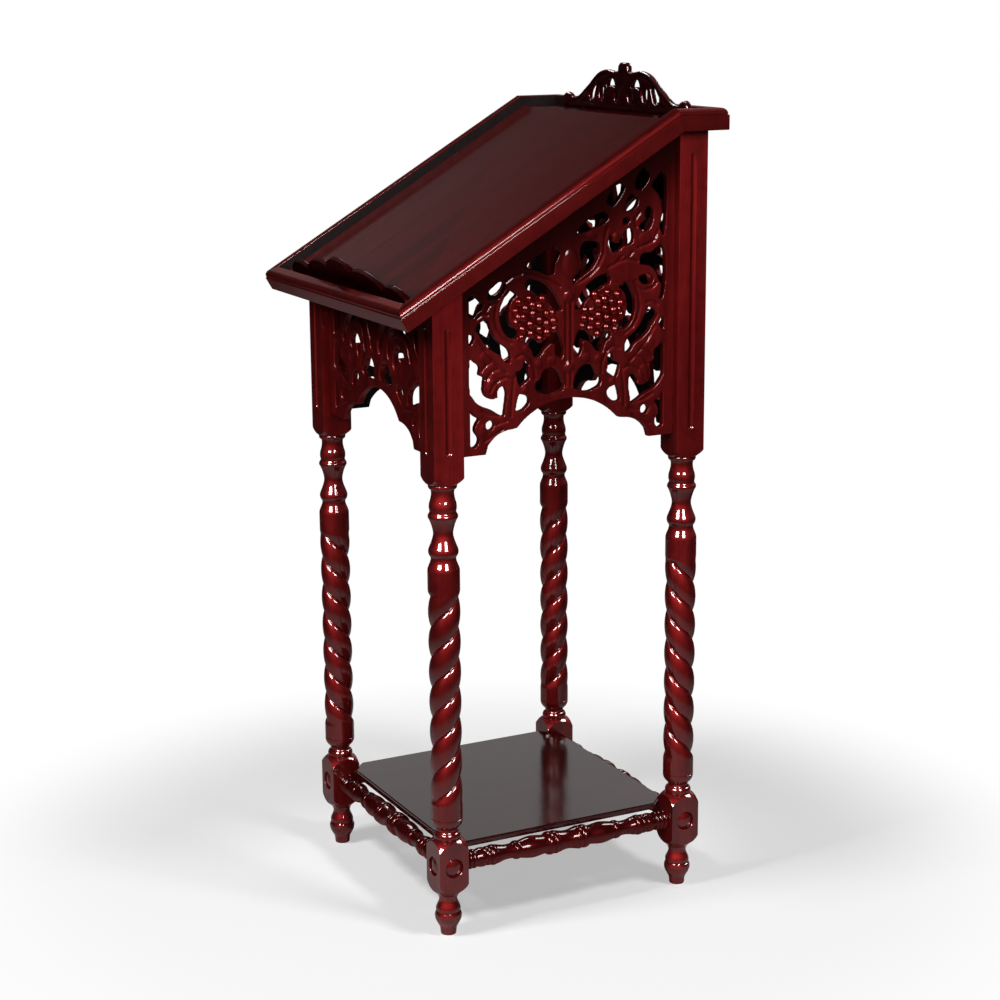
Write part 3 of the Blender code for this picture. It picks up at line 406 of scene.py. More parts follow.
# Near-black painted shade for the panels' inner faces, inside the lectern
INSIDE_PAINTED_SHADE = ((0.0067, 0.0017, 0.0017), (0.0101, 0.0022, 0.0022), (0.0146, 0.0028, 0.0028))
BEECH = ((0.3, 0.17, 0.09), (0.42, 0.26, 0.14), (0.5, 0.33, 0.2))
UPRIGHT, ACROSS, DEEP, SLOPED = (0, 0, 0), (0, QUARTER, 0), (QUARTER, 0, 0), (QUARTER - DESK_SLOPE, 0, 0)
leg_grain = mahogany("mahogany_legs", UPRIGHT, RED_STAIN, 0.36, 0.58, 0.0, 1.0)
rail_across_grain = mahogany("mahogany_rails_across", ACROSS, RED_STAIN, 0.1, 0.5, 0.0, 0.38)
rail_deep_grain = mahogany("mahogany_rails_deep", DEEP, RED_STAIN, 0.1, 0.5, 0.0, 0.38)
rim_across_grain = mahogany("mahogany_rims_across", ACROSS, RIM_STAIN, 0.13, 0.55, 0.0, 0.75)
rim_deep_grain = mahogany("mahogany_rims_deep", DEEP, RIM_STAIN, 0.13, 0.55, 0.0, 0.5)
rim_slope_grain = mahogany("mahogany_rims_slope", SLOPED, RIM_STAIN, 0.15, 0.55, 0.0, 0.28)
crest_grain = mahogany("mahogany_crest", ACROSS, CREST_STAIN, 0.165, 0.5, 0.0, 0.55)
ledge_grain = mahogany("mahogany_ledge", ACROSS, CREST_STAIN, 0.07, 0.5, 0.0, 0.1)
carved_grain = mahogany("mahogany_carved", UPRIGHT, CARVED_STAIN, 0.195, 0.6, 0.0, 0.22, shaded=True)
berry_grain = mahogany("mahogany_berries", UPRIGHT, BERRY_STAIN, 0.134, 0.45, 0.0, 0.45)
# Rims' inner faces: satin, and darker than the rims as painted shade
rim_inner_satin_shade = mahogany("mahogany_rims_inner", SLOPED, CREST_STAIN, 0.0, 0.5, 0.08, 0.0)
inside_painted_shade = mahogany("mahogany_inside_painted_shade", UPRIGHT, INSIDE_PAINTED_SHADE, 0.0, 0.5, 0.1, 0.0)
board_slope_grain = mahogany("board_slope", SLOPED, BOARD_STAIN, 0.0, 0.15, 0.5, 0.0)
board_deep_grain = mahogany("board_deep", DEEP, BOARD_STAIN, 0.0, 0.15, 0.5, 0.0)
shelf_grain = mahogany("shelf_deep", DEEP, SHELF_STAIN, 0.0, 0.14, 0.5, 0.0)


def finish_side(piece, stain, towards, least):
    """Gives the faces that look one way a finish of their own; used to paint shade on faces turned inwards.
    """
    piece.data.materials.append(stain)
    for face in piece.data.polygons:
        if face.normal.dot(Vector(towards)) > least:
            face.material_index = 1


# Turning
def flowing(points, step):
    """Points along a smooth curve through the given ones, about one step apart."""
    points = [Vector(point) for point in points]
    ends = [2 * points[0] - points[1], *points, 2 * points[-1] - points[-2]]
    result = [points[0]]
    for before, start, end, after in zip(ends, ends[1:], ends[2:], ends[3:]):
        count = max(1, round((end - start).length / step))
        for i in range(1, count + 1):
            t = i / count
            a = 2 * start
            b = (end - before) * t
            c = (2 * before - 5 * start + 4 * end - after) * t**2
            d = (3 * start - before - 3 * end + after) * t**3
            result.append((a + b + c + d) / 2)
    return result


def outline_of(corner, stretches, step):
    """One outline from a corner; each stretch, (radius, place) in millimetres, ends at the next corner."""
    outline = [Vector(corner)]
    for stretch in stretches:
        points = [corner, *stretch]
        curve = flowing(points, step) if len(points) > 2 else [Vector(point) for point in points]
        outline += curve[1:]
        corner = stretch[-1]
    return [(radius * MM, place * MM) for radius, place in outline]


def turned(name, outline, sides):
    """A shape turned about the upright axis through the origin."""
    bpy.ops.mesh.primitive_plane_add(size=0.01)
    piece = named(name)
    bpy.ops.object.mode_set(mode="EDIT")
    select_all()
    bpy.ops.mesh.merge(type="CENTER")
    bpy.ops.transform.translate(value=(outline[0][0], 0, outline[0][1]))
    for (radius, place), (next_radius, next_place) in zip(outline, outline[1:]):
        move = (next_radius - radius, 0, next_place - place)
        bpy.ops.mesh.extrude_vertices_move(TRANSFORM_OT_translate={"value": move})
    select_all()
    bpy.ops.mesh.spin(steps=sides, angle=2 * math.pi, center=(0, 0, 0), axis=(0, 0, 1))
    done()
    return clean(piece)


# Legs: radius and height, from the first corner on; each row ends at a sharp corner
FOOT_START = (0, 0)
FOOT = (
    ((10.2, 0),), ((11.0, 0.6), (11.3, 1.8)),
    ((11.6, 6), (12.5, 11), (15.2, 16), (18.0, 21.5), (19.2, 26.5), (19.1, 30.4), (18.0, 33)),
    ((16.8, 33.6), (16.4, 34.4), (16.9, 35.2)),
    ((17.5, 36.6), (17.6, 38.8), (17.0, 41.8), (15.2, 46), (13.5, 50), (12.9, 53), (13.3, 56), (15.0, 60),
     (18.4, 63.8), (22.3, 67.2), (26.0, 70.2), (29.2, 74.2), (31.2, 78), (32.4, 82)), ((32.4, 128),),
)
NECK = (
    ((31.6, 131), (29.6, 134), (27.2, 137.2), (24.5, 140.2), (21.6, 142.6), (19.6, 143.8)),
    ((19.4, 144.8),), ((18.2, 145.2),), ((18.9, 146.6), (19.1, 148.6), (18.7, 151), (17.6, 153.2)),
    ((16.2, 153.8),),
    ((14.9, 155.4), (14.5, 157.2), (15.1, 159.6), (17.2, 162.2), (19.6, 164.8), (21.4, 167.8),
     (22.2, 170.6), (22.4, 173)), ((22.4, 174.4),), ((21.7, 174.9),), ((22.4, 175.4),), ((22.4, 196),),
)
VASE_START = (22.4, 507)
VASE = (
    ((22.4, 533),),
    ((22.2, 535.8), (21.4, 538.8), (20.3, 541.6), (18.8, 545.2), (17.8, 548.4), (17.5, 551), (17.8, 553.6)),
    ((19.2, 555.2), (20.4, 557.8), (20.9, 560.6), (20.7, 563.2), (19.9, 566), (18.1, 570.4), (15.8, 576.6),
     (14.2, 582.4), (13.8, 586.5), (14.3, 591), (15.4, 595.6), (17.2, 601.4), (19.4, 606.6)),
    ((20.6, 608.4), (20.9, 610.4), (20.3, 612.8)), ((18.7, 615.2), (18.2, 617.6)),
    ((18.9, 620.4), (19.2, 624.2), (18.6, 628.8), (17.3, 633), (16.2, 638), (15.8, 642.5), (16.1, 646),
     (16.8, 648.4)), ((18.8, 649.2), (19.9, 651.2), (20.0, 653), (19.4, 654.6)), ((20.4, 654.8),),
    ((23.6, 657.2), (27.0, 659.8), (30.0, 662.8), (32.0, 666), (32.6, 669)), ((32.6, 1125),),
)
LEG_SIDES = 48
TWIST_RINGS = 130
STOCK_LOW = -0.01
STOCK_HIGH = 1.12
FLUTE_HALF_WIDTH = 5
FLUTE_DEPTH = 3
FLUTE_MARGIN = 30 * MM
FRONT_FLUTE_TOP = 870 * MM
BUTTON_RADIUS = 13.4
BUTTON_DEPTH = 3.9
GROOVE_TOP = 1.2
SLOT_HEIGHT = 124.3 * MM
SLOT_SIZE = (6.2 * MM, 12.4 * MM, 8.6 * MM)
CUTTER_OVERRUN = 10 * MM


def twist(piece):
    """Cuts two grooves along the shaft, then turns the shaft so that they wind round it."""
    points = points_of(piece)
    x, y, z = points.T
    radius, angle = np.hypot(x, y), np.arctan2(y, x)
    fade = np.clip(np.minimum(z - TWIST_LOW, TWIST_HIGH - z) / TWIST_FADE, 0, 1)
    fade = fade * fade * (3 - 2 * fade)
    radius -= TWIST_DEPTH * fade * (1 - np.abs(np.sin(angle - GROOVE_ANGLE)) ** 0.55)
    angle += TWIST_TURN * np.clip((z - TWIST_LOW) / (TWIST_HIGH - TWIST_LOW), 0, 1)
    points[:, 0], points[:, 1] = radius * np.cos(angle), radius * np.sin(angle)
    move_points(piece, points)


def box_between(name, low, high):
    low, high = Vector(low), Vector(high)
    bpy.ops.mesh.primitive_cube_add(size=1, location=(low + high) / 2, scale=high - low)
    return settle(named(name))


def capsule(name, radius, low, high):
    """A long round-ended cutter between two points, one above the other."""
    bpy.ops.mesh.primitive_uv_sphere_add(segments=32, ring_count=24, radius=radius, location=low)
    piece = settle(named(name))
    edit(piece)
    choose("verts", lambda point: point.co.z > low[2] + 0.0001)
    bpy.ops.transform.translate(value=(0, 0, high[2] - low[2]))
    done()
    return piece


def leg_cutters(flute_top):
    """Flutes, sunk buttons, panel grooves, bores and shelf slot of a leg on the +X +Y side."""
    cutters = []
    flute_radius = (FLUTE_HALF_WIDTH**2 + FLUTE_DEPTH**2) / (2 * FLUTE_DEPTH) * MM
    flute_reach = POST_HALF + flute_radius - FLUTE_DEPTH * MM
    button = [(0, 0.1), *[(BUTTON_RADIUS * i / 10, -BUTTON_DEPTH * (i / 10) ** 2) for i in range(1, 11)]]
    button += [(13.5, -BUTTON_DEPTH), (13.9, -0.3), (14.2, 0.1), (14.2, 3), (0, 3)]
    button = [(radius * MM, height * MM) for radius, height in button]
    flute_low = POST_BOTTOM + FLUTE_MARGIN + flute_radius
    for swap in (False, True):
        def side(u, v, z):
            return (v, u, z) if swap else (u, v, z)
        low, high = side(flute_reach, 0, flute_low), side(flute_reach, 0, flute_top - flute_radius)
        cutters.append(capsule("flute_cutter", flute_radius, low, high))
        ring = turned("button_cutter", button, 40)
        ring.rotation_euler = (-QUARTER, 0, 0) if swap else (0, QUARTER, 0)
        ring.location = side(POST_HALF, 0, BLOCK_MIDDLE)
        cutters.append(settle(ring))
        groove_low = side(-0.5 * MM - GAP, -POST_HALF - CUTTER_OVERRUN, PANEL_BOTTOM - GAP)
        groove_high = side(9.5 * MM + GAP, -POST_HALF + 6 * MM + GAP, GROOVE_TOP)
        cutters.append(box_between("groove_cutter", groove_low, groove_high))
        depth = TENON_LENGTH + GAP + CUTTER_OVERRUN
        bore_place = side(0, -POST_HALF - CUTTER_OVERRUN + depth / 2, STRETCHER_HEIGHT)
        bore_turn = (0, QUARTER, 0) if swap else (QUARTER, 0, 0)
        bpy.ops.mesh.primitive_cylinder_add(
            vertices=24, radius=TENON_RADIUS + GAP, depth=depth, location=bore_place, rotation=bore_turn
        )
        cutters.append(settle(named("bore_cutter")))
    bpy.ops.mesh.primitive_cube_add(size=1, location=(-POST_HALF, -POST_HALF, SLOT_HEIGHT))
    slot = named("slot_cutter")
    slot.rotation_euler = (0, 0, math.radians(45))
    slot.scale = SLOT_SIZE
    cutters.append(settle(slot))
    return merged(cutters)


def make_legs():
    outline = outline_of(FOOT_START, FOOT + NECK, 1.6)
    rings = [i / TWIST_RINGS for i in range(1, TWIST_RINGS)]
    outline += [(SHAFT_RADIUS, TWIST_LOW + (TWIST_HIGH - TWIST_LOW) * share) for share in rings]
    outline += outline_of(VASE_START, VASE, 1.6)
    outline.append((0, outline[-1][1]))
    turning = turned("leg_turning", outline, LEG_SIDES)
    twist(turning)
    stock = box_between("leg_stock", (-POST_HALF, -POST_HALF, STOCK_LOW), (POST_HALF, POST_HALF, STOCK_HIGH))
    soften(stock, 0.7 * MM, 2)
    combine(stock, turning, "INTERSECT")
    for word, side_y, axis_y, flute_top in (
        ("back", 1, LEG_BACK_Y, FLAT_HEIGHT - FLUTE_MARGIN), ("front", -1, LEG_FRONT_Y, FRONT_FLUTE_TOP),
    ):
        leg = copy_of(stock, f"twisted_leg_{word}_right")
        combine(leg, leg_cutters(flute_top), "DIFFERENCE")
        leg.matrix_world = Matrix.Translation((LEG_X, axis_y, 0)) @ Matrix.Diagonal((1, side_y, 1, 1))
        settle(leg)
        clean(leg)
        edit(leg)
        if word == "back":
            saw_off((0, 0, FLAT_HEIGHT - GAP), (0, 0, 1))
        else:
            saw_off((0, DESK_FRONT_Y, DESK_FRONT_HEIGHT - GAP / math.cos(DESK_SLOPE)), DESK_UP)
        done()
        smooth(leg, 28)
        other = twin(leg, f"twisted_leg_{word}_left", 28)
        for piece, hand in ((leg, "right"), (other, "left")):
            fit(level_faces(piece), leg_grain, "turned_wood", f"leg_{word}_{hand}")
    bpy.data.objects.remove(stock)


make_legs()

# Stretchers: radius and distance from the middle, over half their length
STRETCHER_START = (13.5, 0)
STRETCHER = (
    ((13.7, 3.5), (14.4, 8), (15.5, 12.5), (16.1, 15.4)), ((15.6, 15.9),),
    ((16.7, 17.2), (16.9, 19.2), (16.6, 21.4), (15.9, 22.6)), ((15.3, 23.1),),
    ((16.3, 24.2), (17.0, 27), (17.0, 29.4), (16.3, 32), (15.1, 33.8)), ((13.9, 34.6),),
    ((13.8, 38), (14.3, 42.5), (15.2, 48.5), (15.8, 54), (15.8, 58.5), (15.2, 64), (14.2, 69.5)),
    ((13.1, 74.5), (12.6, 76.8)), ((12.2, 77.4),), ((13.2, 78.8), (13.5, 81.6), (13.2, 84.4), (12.5, 86)),
    ((11.2, 86.8),), ((10.7, 91), (10.6, 95.5), (10.9, 100.5), (11.9, 106), (13.2, 111), (13.8, 114.4)),
    ((13.2, 115),), ((14.4, 116.6), (14.8, 119.8), (14.4, 123), (13.5, 124.6)), ((12.7, 125.2),),
    ((13.6, 126.6), (13.8, 128.6), (13.3, 130.6), (12.6, 131.6)),
    ((13.6, 134), (14.0, 138), (13.5, 142), (12.5, 145.6), (12.1, 147.6)),
    ((13.5, 149), (13.9, 151), (13.5, 153), (12.3, 154.2)),
    ((13.5, 155.6), (13.9, 157.6), (13.5, 159.6), (12.3, 160.8)),
    ((13.5, 161.9), (14.0, 164), (13.7, 166.4), (13.4, 167.2)),
)


def make_stretchers():
    half = outline_of(STRETCHER_START, STRETCHER, 1.1)
    for words, half_length, turn in (
        (("left", "right"), LEG_Y - POST_HALF - GAP, Matrix.Rotation(-QUARTER, 4, "X")),
        (("front", "back"), LEG_X - POST_HALF - GAP, Matrix.Rotation(QUARTER, 4, "Y")),
    ):
        stretch = half_length / half[-1][1]
        end = half_length + TENON_LENGTH
        row = [(radius, place * stretch) for radius, place in half]
        row += [(TENON_RADIUS, half_length), (TENON_RADIUS, end), (0, end)]
        outline = [(radius, -place) for radius, place in reversed(row)] + row[1:]
        for word, side in zip(words, (-1, 1)):
            piece = turned(f"turned_stretcher_{word}", outline, 40)
            if "left" in words:
                where, grain = (side * LEG_X, MID_Y, STRETCHER_HEIGHT), rail_deep_grain
            else:
                where, grain = (0, MID_Y + side * LEG_Y, STRETCHER_HEIGHT), rail_across_grain
            piece.matrix_world = Matrix.Translation(where) @ turn
            settle(piece)
            smooth(piece, 40)
            fit(piece, grain, "turned_wood", f"stretcher_{word}")


make_stretchers()


# Shelf with clipped corners and a stepped, rounded edge
def make_shelf():
    low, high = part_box("shelf_board")
    step = 1.4 * MM
    shelf = box_between("moulded_shelf", low, high - Vector((0, 0, step)))
    clip = LEG_X + LEG_Y - 2 * POST_HALF + 2.8 * math.sqrt(2) * MM
    edit(shelf)
    for side_x in (-1, 1):
        for side_y in (-1, 1):
            saw_off((side_x * clip, MID_Y, 0), (side_x, side_y, 0))
    choose("faces", lambda face: face.normal.z > 0.9)
    bpy.ops.mesh.inset(thickness=3.2 * MM)
    bpy.ops.mesh.extrude_region_move(TRANSFORM_OT_translate={"value": (0, 0, step)})
    turn_faces_out()
    done()
    soften(shelf, 0.9 * MM, 3)
    smooth(shelf, 40)
    fit(level_faces(shelf), shelf_grain, "board_wood", "shelf_board")


make_shelf()

# Fretwork
ACROSS_X = Matrix.Rotation(QUARTER, 4, "X")
ACROSS_Y = Matrix.Rotation(QUARTER, 4, "Z") @ ACROSS_X
MOST_TRIANGLES = 190_000


def face_outlines(node, place):
    """Closed outlines of a flat piece's outer face, in the axes of the face."""
    inverse = place.inverted()
    outwards = place.to_3x3() @ Vector((0, 0, 1))
    shape = bmesh.new()
    shape.from_mesh(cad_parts[node].data)
    bmesh.ops.remove_doubles(shape, verts=shape.verts, dist=MERGE_DISTANCE)
    shape.normal_update()
    flat = {face for face in shape.faces if face.normal.dot(outwards) > 0.99}
    flat = {face for face in flat if (inverse @ face.calc_center_median()).z > 0}
    ahead = {}
    for face in flat:
        for loop in face.loops:
            if sum(other in flat for other in loop.edge.link_faces) == 1:
                ahead[loop.vert.index] = loop.link_loop_next.vert.index
    shape.verts.ensure_lookup_table()
    outlines = []
    for start in sorted(ahead):
        row, point = [], start
        while point in ahead:
            row.append((inverse @ shape.verts[point].co).to_2d())
            point = ahead.pop(point)
        if len(row) > 2:
            outlines.append(row)
    shape.free()
    return outlines


def sawn_board(name, outlines, thickness, place, corner=60, bevel=0.0):
    """A board sawn to smooth outlines; points that turn more sharply than the corner angle stay sharp."""
    curve = bpy.data.curves.new(name, "CURVE")
    curve.dimensions = "2D"
    curve.fill_mode = "BOTH"
    curve.resolution_u = 6
    curve.extrude = thickness / 2 - bevel
    curve.bevel_depth = bevel
    curve.bevel_resolution = 3
    curve.offset = -bevel
    widest = max(outlines, key=lambda outline: max(point.x for point in outline))
    for outline in outlines:
        sharpest = math.radians(min(corner, 26) if outline is widest else corner)
        spline = curve.splines.new("BEZIER")
        spline.bezier_points.add(len(outline) - 1)
        spline.use_cyclic_u = True
        for i, here in enumerate(outline):
            into, out = here - outline[i - 1], outline[(i + 1) % len(outline)] - here
            sharp = into.angle(out) > sharpest
            point = spline.bezier_points[i]
            point.co = here.to_3d()
            point.handle_left_type = point.handle_right_type = "VECTOR" if sharp else "AUTO"
    only(placed(name, curve))
    bpy.ops.object.convert(target="MESH")
    board = named(name)
    board.matrix_world = place
    settle(board)
    return clean(board)


def border_rows(piece, place, thickness):
    """The edges round a sawn board's outer face, as pairs of points on the face."""
    inverse = place.inverted()
    shape = bmesh.new()
    shape.from_mesh(piece.data)
    rows = []
    for edge in shape.edges:
        ends = [inverse @ point.co for point in edge.verts]
        if min(end.z for end in ends) > thickness / 4 and edge.calc_face_angle(0) > 1:
            rows.append([end.to_2d()[:] for end in ends])
    shape.free()
    return rows


def along(rows, step):
    """Points every step along open rows of points."""
    points = []
    for row in rows:
        for start, end in zip(row, row[1:]):
            start, end = np.array(start), np.array(end)
            count = max(1, int(np.linalg.norm(end - start) / step))
            points += [start + (end - start) * i / count for i in range(count + 1)]
    return points


def nearest(points, targets):
    """Distance on the face from each point to the nearest target."""
    tree = KDTree(len(targets))
    for i, (x, y) in enumerate(targets):
        tree.insert((x, y, 0), i)
    tree.balance()
    return np.array([tree.find((x, y, 0))[2] for x, y in points])


def mound(face, x, y, wide, tall):
    """One in the middle of an oval on the face, falling to nothing and below at its edge."""
    return 1 - ((face[:, 0] / MM - x) / wide) ** 2 - ((face[:, 1] / MM - y) / tall) ** 2


VEIN_DEPTH = 1.2 * MM
VEIN_WIDTH = 2.6 * MM
BUD_SHARE = 0.6


def carve(piece, place, thickness, veins, domes, hollows, edge=0.8, grit=1.3):
    """Turns a sawn board into a carved one: rounded edges, cut veins, raised buds, sunk grounds."""
    borders = along(border_rows(piece, place, thickness), 1.0 * MM)
    apply(piece, "REMESH", mode="VOXEL", voxel_size=grit * MM, adaptivity=0.0)
    apply(piece, "SMOOTH", factor=0.5, iterations=1)
    back, forth = np.array(place.inverted()), np.array(place)
    local = points_of(piece) @ back[:3, :3].T + back[:3, 3]
    face = local[:, :2]
    inside = np.clip(edge * MM - nearest(face, borders), 0, None)
    drop = edge * MM - np.sqrt(np.clip((edge * MM) ** 2 - inside**2, 0, None))
    drop = np.minimum(drop, 0.8 * edge * MM)
    lift = np.zeros(len(local))
    for x, y, wide, tall, height in domes:
        bud = BUD_SHARE * height * MM * np.sqrt(np.clip(mound(face, x, y, wide, tall), 0, 1))
        lift = np.maximum(lift, bud)
    for x, y, wide, tall, depth in hollows:
        lift -= depth * MM * np.clip(mound(face, x, y, wide, tall) * 2.5, 0, 1)
    rows = [[(x * MM, y * MM) for x, y in row] for row in veins]
    lift -= VEIN_DEPTH * np.clip(1.15 - nearest(face, along(rows, 0.8 * MM)) / VEIN_WIDTH, 0, 1)
    share = np.clip(local[:, 2] / (thickness / 2), 0, 1)
    under = np.clip(-local[:, 2] / (thickness / 2), 0, 1)
    local[:, 2] += share * (lift - drop) + under * 0.5 * drop
    move_points(piece, local @ forth[:3, :3].T + forth[:3, 3])
    apply(piece, "SMOOTH", factor=0.4, iterations=1)
    piece.data.calc_loop_triangles()
    triangles = len(piece.data.loop_triangles)
    if triangles > MOST_TRIANGLES:
        apply(piece, "DECIMATE", ratio=MOST_TRIANGLES / triangles)
    return smooth(piece, 80)


def both_sides(rows):
    """Rows of veins with their mirror images."""
    return [*rows, *[[(-x, y) for x, y in row] for row in rows]]


def both_ovals(ovals):
    """Ovals with their mirror images."""
    return [*ovals, *[(-x, *rest) for x, *rest in ovals if x]]


# Carving of the panels: places from the middle line and above the lower edge
LEAF_VEINS = (
    ((97, 110), (110, 121), (124, 137), (137, 156)), ((106, 117), (118, 114), (126, 104)),
    ((116, 128), (127, 123), (134, 115)), ((96, 44), (106, 42), (112, 40)), ((102, 33), (114, 26), (130, 19)),
    ((108, 52), (122, 55), (134, 61)), ((86, 100), (95, 104), (105, 102), (116, 95), (121, 86)),
    ((89, 50), (88, 70), (86, 88), (84, 104)), ((52, 98), (53, 112), (60, 127), (70, 134), (80, 130)),
    ((89, 150), (101, 158), (109, 170), (113, 186), (110, 204), (103, 221)),
    ((124, 191), (132, 192), (141, 187)),
    ((4, 84), (4, 104)), ((4, 116), (4, 200)),
)
LEAF_DOMES = (
    (0, 110, 8, 8, 2.6), (0, 207, 8, 8, 2.6), (119, 92, 8, 12, 2.2), (127, 134, 10, 8, 1.6),
    (68, 84, 5, 5, 1.6), (138, 98, 6, 9, 1.8), (132, 34, 6, 9, 1.8), (47, 118, 6, 6, 1.8),
    (66, 141, 5, 5, 1.6), (27, 121, 7, 6, 1.8),
)
TALL_VEINS = (
    ((62, 243), (76, 249), (92, 253), (108, 249)), ((76, 249), (84, 257)), ((92, 253), (101, 262)),
    ((13, 224), (32, 233), (46, 245), (55, 262), (56, 280), (60, 297)),
    ((110, 268), (122, 271), (135, 276), (141, 290)),
    ((106, 222), (110, 212), (120, 208), (132, 210), (140, 218)), ((106, 296), (104, 306), (112, 316)),
)
TALL_DOMES = (
    (3, 252, 12, 20, 4), (74, 284, 5, 6, 2), (96, 284, 6, 8, 1.6), (120, 280, 10, 8, 1.8),
    (36, 288, 8, 6, 1.6), (122, 250, 9, 5, 1.6), (140, 276, 6, 7, 1.6),
)
LOW_VEINS = (
    ((-72, 243), (-86, 240), (-99, 231)), ((-126, 196), (-120, 204), (-108, 206)),
    ((-13, 222), (-28, 231), (-48, 238), (-66, 242)),
)
GRAPE_GROUND = (53, 181, 36, 34, 1.8)
BERRY_RADIUS = 6.5 * MM
BERRY_REACH = 5.4
# Places of the berries round the middle of a bunch
BERRIES = (
    (8, 28), (24, 24), (-7, 16), (14, 15), (29, 12), (-18, 6), (3, 7), (18, 3), (-7, -2), (7, -7), (29, -3),
    (-29, -5), (-18, -8), (-7, -15), (19, -13), (-31, -16), (6, -20), (-19, -20), (-8, -28), (3, 19),
    (20, -24), (-27, 6), (-12, 26), (25, 4),
)


def make_grapes(name, place, across):
    """Two bunches of berries on a panel, mirrored about its middle."""
    bpy.ops.mesh.primitive_uv_sphere_add(segments=16, ring_count=10, radius=BERRY_RADIUS)
    berry = named("berry")
    bunch = []
    for side in (-1, 1):
        for i, (x, y) in enumerate(BERRIES):
            one = copy_of(berry, "berry_copy")
            out = BERRY_REACH - 1.5 * (x * x + y * y) / 1000 + 0.5 * (i % 3 - 1)
            spot = Vector((side * (GRAPE_GROUND[0] + x) * across, GRAPE_GROUND[1] + y, out)) * MM
            size = 1 + 0.05 * (i * 7 % 5 - 2)
            shape = Matrix.Diagonal((size, size, size * 0.95, 1))
            one.matrix_world = place @ Matrix.Translation(spot) @ shape
            bunch.append(settle(one))
    bpy.data.objects.remove(berry)
    grapes = merged(bunch)
    grapes.name = grapes.data.name = name
    smooth(grapes, 80)
    return fit(grapes, berry_grain, "carved_wood")


def make_panel(name, node, turn, veins, domes, hollows):
    """A carved panel in place of a CAD panel; returns it with the axes of its face."""
    low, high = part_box(node)
    middle = (low + high) / 2
    face = turn.to_3x3() @ Vector((0, 0, 1))
    thickness = abs((high - low).dot(face))
    middle = Vector((0, MID_Y, PANEL_BOTTOM)) + face * (middle - Vector((0, MID_Y, PANEL_BOTTOM))).dot(face)
    place = Matrix.Translation(middle) @ turn
    board = sawn_board(name, face_outlines(node, place), thickness, place)
    carve(board, place, thickness, veins, domes, hollows)
    return board, place


def fit_panel(piece, node):
    """Fits a carved panel; its back, turned to the inside of the lectern, gets a near-black finish as painted
    shade.
    """
    fit(piece, carved_grain, "carved_wood", node)
    low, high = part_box(node)
    away = (low + high) / 2 - Vector((0, MID_Y, 0))
    if abs(away.x) > 0.1:
        inwards = (-math.copysign(1, away.x), 0, 0)
    else:
        inwards = (0, -math.copysign(1, away.y), 0)
    finish_side(piece, inside_painted_shade, inwards, 0.5)


side_veins = both_sides(LEAF_VEINS) + [*TALL_VEINS, *LOW_VEINS]
side_domes = both_ovals(LEAF_DOMES) + [*TALL_DOMES]
grounds = both_ovals((GRAPE_GROUND,))
side_panel, side_place = make_panel(
    "carved_panel_right", "side_panel_right", ACROSS_Y, side_veins, side_domes, grounds
)
side_grapes = make_grapes("grapes_right", side_place, 1.0)
other_panel = twin(side_panel, "carved_panel_left", 80)
fit_panel(side_panel, "side_panel_right")
fit_panel(other_panel, "side_panel_left")
fit(twin(side_grapes, "grapes_left", 80), berry_grain, "carved_wood")

back_panel, back_place = make_panel(
    "carved_panel_back", "back_panel", Matrix.Rotation(math.pi, 4, "Z") @ ACROSS_X,
    both_sides(LEAF_VEINS + TALL_VEINS), both_ovals(LEAF_DOMES + TALL_DOMES), grounds,
)
fit_panel(back_panel, "back_panel")
make_grapes("grapes_back", back_place, 1.013)

FRONT_VEINS = (
    ((4, 76), (20, 79), (38, 84), (52, 92)), ((20, 112), (30, 126), (34, 146), (44, 166)),
    ((56, 92), (50, 104), (48, 118), (53, 136), (62, 146), (76, 146), (90, 138)),
    ((96, 84), (108, 92), (120, 102), (126, 116)), ((92, 48), (104, 48), (116, 50), (132, 60)),
    ((98, 34), (110, 26), (128, 20)), ((130, 120), (124, 132), (119, 148), (116, 160)),
    ((10, 182), (26, 186), (46, 204), (80, 206), (110, 196)), ((88, 92), (96, 104), (100, 118), (94, 132)),
)
FRONT_DOMES = (
    (0, 122, 10, 17, 4), (62, 90, 9, 12, 2.4), (80, 124, 7, 7, 2.4), (112, 72, 8, 6, 1.6),
    (100, 102, 8, 12, 2), (128, 90, 6, 9, 1.8), (132, 120, 7, 7, 2), (48, 168, 9, 6, 1.8),
    (120, 186, 9, 6, 1.8), (0, 185, 10, 10, 2.6), (132, 36, 6, 9, 1.8),
)
front_panel = make_panel(
    "carved_panel_front", "front_panel", ACROSS_X, both_sides(FRONT_VEINS), both_ovals(FRONT_DOMES), ()
)[0]
fit_panel(front_panel, "front_panel")

# Crest with two round bosses and a cut line under its top edge
CREST_VEINS = (
    ((150, 8), (128, 12), (108, 24)), ((104, 26), (88, 37), (74, 45), (58, 50), (46, 51)),
    ((118, 8), (104, 12), (100, 24)), ((72, 10), (76, 22), (72, 34)), ((30, 10), (36, 16)),
    ((54, 10), (48, 16)),
)
CREST_DOMES = (
    (42, 23, 13, 13, 3.2), (0, 22, 9, 14, 2.6), (0, 62, 8, 7, 1.8), (168, 11, 9, 9, 2.6),
    (110, 18, 9, 7, 1.8),
)
crest_low, crest_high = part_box("crest")
crest_place = Matrix.Translation((0, (crest_low.y + crest_high.y) / 2, crest_low.z)) @ ACROSS_X
crest = sawn_board("carved_crest", face_outlines("crest", crest_place), THIN_BOARD, crest_place, 50)
carve(crest, crest_place, THIN_BOARD, both_sides(CREST_VEINS), both_ovals(CREST_DOMES), (), 2.6, 1.2)
fit(crest, crest_grain, "turned_wood", "crest")

LEDGE_HALF = 202
LEDGE_FOOT = -3.7
LEDGE_BACK = 35.5 * MM
